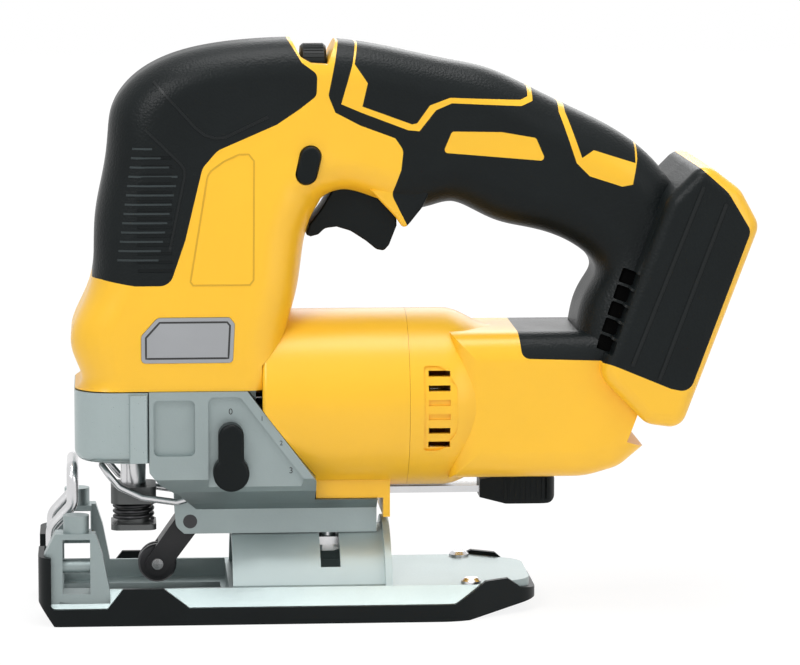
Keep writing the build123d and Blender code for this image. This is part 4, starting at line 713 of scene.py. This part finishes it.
def add_floor(scene):
    """Large flat floor under the sole."""
    corners = [(x * FLOOR_HALF, y * FLOOR_HALF, 0) for x, y in ((-1, -1), (1, -1), (1, 1), (-1, 1))]
    mesh = bpy.data.meshes.new("floor")
    mesh.from_pydata(corners, [], [(0, 1, 2, 3)])
    mesh.materials.append(floor_material())
    floor = bpy.data.objects.new("floor", mesh)
    scene.collection.objects.link(floor)


def add_lamp(scene, name, place, size, watts):
    """Soft area lamp aimed at the saw."""
    data = bpy.data.lights.new(name, "AREA")
    data.size = size
    data.energy = watts
    lamp = bpy.data.objects.new(name, data)
    lamp.location = place
    aim = Vector(LAMP_AIM) - Vector(place)
    lamp.rotation_euler = aim.to_track_quat("-Z", "Y").to_euler()
    scene.collection.objects.link(lamp)


def add_camera(scene, stage):
    """Camera on the saw's left side, looking at its target."""
    turn, rise = stage.azimuth, stage.elevation
    way = Vector((math.sin(turn) * math.cos(rise), -math.cos(turn) * math.cos(rise), math.sin(rise)))
    data = bpy.data.cameras.new("camera")
    data.lens = stage.lens
    data.sensor_width = SENSOR_WIDTH
    data.clip_end = VIEW_END
    camera = bpy.data.objects.new("camera", data)
    camera.location = Vector(stage.target) + way * stage.distance
    camera.rotation_euler = (-way).to_track_quat("-Z", "Y").to_euler()
    scene.collection.objects.link(camera)
    scene.camera = camera


class JIGSAW_OT_casing(bpy.types.Operator):
    """Yellow casing with its screws, panel lines and side plates"""

    bl_idname = "jigsaw.casing"
    bl_label = "Casing"

    def execute(self, context):
        dress(yellow_nylon, "housing_left", "housing_right", "motor_sleeve")
        dress(badge_metal, "side_badges")
        dress(bright_steel, "housing_screws")
        screw_recesses("screw_recesses", surface("housing_screws"))
        walls = surface("housing_left", "housing_right")
        plates = surface("side_badges")
        for side, word in SIDES:
            # Panel line in darkened yellow: painted shade of a groove round the column's panel
            beads(
                f"column_line_{word}", walls, [COLUMN_LINE], side, yellow_groove,
                looks().line_width / MM, BEAD_HEIGHT, closed=True,
            )
            beads(
                f"badge_frame_{word}", plates, [BADGE_LINE], side, dark_mark,
                BADGE_LINE_WIDTH, BADGE_LINE_HEIGHT, closed=True,
            )
        return {"FINISHED"}


class JIGSAW_OT_grips(bpy.types.Operator):
    """Soft black grips with their ribs, edges and lines; paler rib tops as painted highlight, and
    near-black plates of painted shade below the louvres
    """

    bl_idname = "jigsaw.grips"
    bl_label = "Grips"

    def execute(self, context):
        for side, word in SIDES:
            dress(soft_grip, f"front_grip_{word}", f"main_grip_{word}", f"handle_pads_{word}")
            # Near-black plate of painted shade behind each row of louvres
            louvre_backing(f"louvre_backing_{word}", side)
            rear, front = surface(f"main_grip_{word}"), surface(f"front_grip_{word}")
            beads(
                f"foot_lines_{word}", rear, FOOT_LINES, side, smooth_grip,
                FOOT_LINE_WIDTH, FOOT_LINE_HEIGHT,
            )
            ribs = [grip_rib(index) for index in range(looks().grip_ribs)]
            # Rib beads in a paler black: painted highlight along each rib
            beads(
                f"grip_ribs_{word}", front, ribs, side, rib_edge,
                RIB_WIDTH, RIB_HEIGHT, step=RIB_STEP,
            )
            beads(
                f"grip_edges_{word}", front, (FACET_LINE, THUMB_LINE), side, smooth_grip,
                GRIP_EDGE_WIDTH, GRIP_EDGE_HEIGHT,
            )
        return {"FINISHED"}


class JIGSAW_OT_controls(bpy.types.Operator):
    """Trigger, lock button, speed dial and orbit selector"""

    bl_idname = "jigsaw.controls"
    bl_label = "Controls"

    def execute(self, context):
        dress(black_nylon, "trigger", "lock_button", "speed_dial", "orbit_lever")
        dress(bright_steel, "orbit_shaft")
        ridges = looks().dial_ridges
        bar_ring(
            "dial_grip", black_nylon, "dial", ridges, DIAL_RIDGE_SIZE,
            joint_place("dial_turn"), radius=DIAL_RIDGE_RADIUS, step=2 * math.pi / ridges,
            turn=(0.0, math.pi / 2, 0.0),
        )
        axis_x, _, axis_z = joint_place("orbit_select")
        for index, (radius, plane_y, size) in enumerate(ORBIT_FIGURES):
            angle = ORBIT_STEP * index
            place = (axis_x + radius * math.sin(angle), plane_y, axis_z + radius * math.cos(angle))
            numeral(f"orbit_figure_{index}", str(index), place, size, dark_mark, "saw")
        return {"FINISHED"}


class JIGSAW_OT_gear_case(bpy.types.Operator):
    """Cast gear case, blade release lever and finger guard"""

    bl_idname = "jigsaw.gear_case"
    bl_label = "Gear case"

    def execute(self, context):
        dress(cast_aluminium, "gear_case", "bearing_plate")
        dress(satin_casting, "blade_release_lever")
        dress(bright_steel, "finger_guard", "gear_axle")
        dress(dark_steel, "roller_pivot_pin")
        dress(bronze, "plunger_bush_lower", "plunger_bush_upper", "gear_bush")
        return {"FINISHED"}


class JIGSAW_OT_blade_drive(bpy.types.Operator):
    """Plunger, blade clamp, roller and crank"""

    bl_idname = "jigsaw.blade_drive"
    bl_label = "Blade drive"

    def execute(self, context):
        dress(bright_steel, "plunger_rod", "scotch_yoke", "crank_pin", "crank_roller", "roller_axle")
        dress(bright_steel, "crank_gear", "counterweight")
        dress(clamp_steel, "blade_clamp")
        dress(dark_steel, "clamp_spring", "guide_roller")
        dress(black_oxide, "roller_fork")
        return {"FINISHED"}


class JIGSAW_OT_shoe(bpy.types.Operator):
    """Shoe plate, sole cover, bevel bracket, bevel lever and wire guard"""

    bl_idname = "jigsaw.shoe"
    bl_label = "Shoe"

    def execute(self, context):
        dress(cast_aluminium, "shoe_plate")
        dress(machined_aluminium, "bevel_bracket")
        dress(black_nylon, "shoe_cover", "bevel_lever_grip")
        for side, word in SIDES:
            start = (KNOB_RIB_START_X, side * KNOB_RIB_FACE_Y, KNOB_RIB_Z)
            bar_ring(
                f"knob_ribs_{word}", black_nylon, "bevel_handle", looks().knob_ribs,
                KNOB_RIB_SIZE, start, spread=(KNOB_RIB_PITCH, 0.0, 0.0),
            )
        dress(bright_steel, "shoe_screws", "front_guard", "bevel_lever", "bevel_bolt", "bevel_clamp_plate")
        return {"FINISHED"}


class JIGSAW_OT_electrics(bpy.types.Operator):
    """Motor, switch, control module and battery terminals"""

    bl_idname = "jigsaw.electrics"
    bl_label = "Electrics"

    def execute(self, context):
        dress(dark_steel, "stator", "rotor_core")
        dress(copper_wire, "stator_windings")
        dress(bright_steel, "motor_front_bearing", "motor_rear_bearing", "rotor_shaft")
        dress(black_nylon, "cooling_fan", "switch_module", "control_module", "dial_potentiometer")
        dress(black_nylon, "terminal_block")
        dress(bronze, "battery_terminals")
        return {"FINISHED"}


class JIGSAW_OT_stage(bpy.types.Operator):
    """Pale floor, white surround, soft lights and the camera"""

    bl_idname = "jigsaw.stage"
    bl_label = "Stage"

    def execute(self, context):
        scene = context.scene
        stage = scene.jigsaw_stage
        scene.view_settings.view_transform = "Standard"
        white_surround(scene, stage.light)
        add_floor(scene)
        for name, place, size, watts in LAMPS:
            add_lamp(scene, name, place, size, watts * stage.light)
        add_camera(scene, stage)
        return {"FINISHED"}


class JIGSAW_PT_panel(bpy.types.Panel):
    """Sidebar panel with the looks, the stage and one button per group"""

    bl_idname = "JIGSAW_PT_panel"
    bl_label = "Jigsaw"
    bl_space_type = "VIEW_3D"
    bl_region_type = "UI"
    bl_category = "Jigsaw"

    def draw(self, context):
        layout = self.layout
        for group in (context.scene.jigsaw_looks, context.scene.jigsaw_stage):
            for name in group.__annotations__:
                layout.prop(group, name)
        for step in STEPS:
            layout.operator(step.bl_idname)


STEPS = (
    JIGSAW_OT_casing,
    JIGSAW_OT_grips,
    JIGSAW_OT_controls,
    JIGSAW_OT_gear_case,
    JIGSAW_OT_blade_drive,
    JIGSAW_OT_shoe,
    JIGSAW_OT_electrics,
    JIGSAW_OT_stage,
)
CLASSES = (JigsawLooks, JigsawStage) + STEPS + (JIGSAW_PT_panel,)


def register():
    for item in CLASSES:
        bpy.utils.register_class(item)
    bpy.types.Scene.jigsaw_looks = bpy.props.PointerProperty(type=JigsawLooks)
    bpy.types.Scene.jigsaw_stage = bpy.props.PointerProperty(type=JigsawStage)


def unregister():
    del bpy.types.Scene.jigsaw_stage
    del bpy.types.Scene.jigsaw_looks
    for item in reversed(CLASSES):
        bpy.utils.unregister_class(item)


def main():
    register()
    bpy.ops.jigsaw.casing()
    bpy.ops.jigsaw.grips()
    bpy.ops.jigsaw.controls()
    bpy.ops.jigsaw.gear_case()
    bpy.ops.jigsaw.blade_drive()
    bpy.ops.jigsaw.shoe()
    bpy.ops.jigsaw.electrics()
    bpy.ops.jigsaw.stage()


if __name__ == "__main__":
    main()
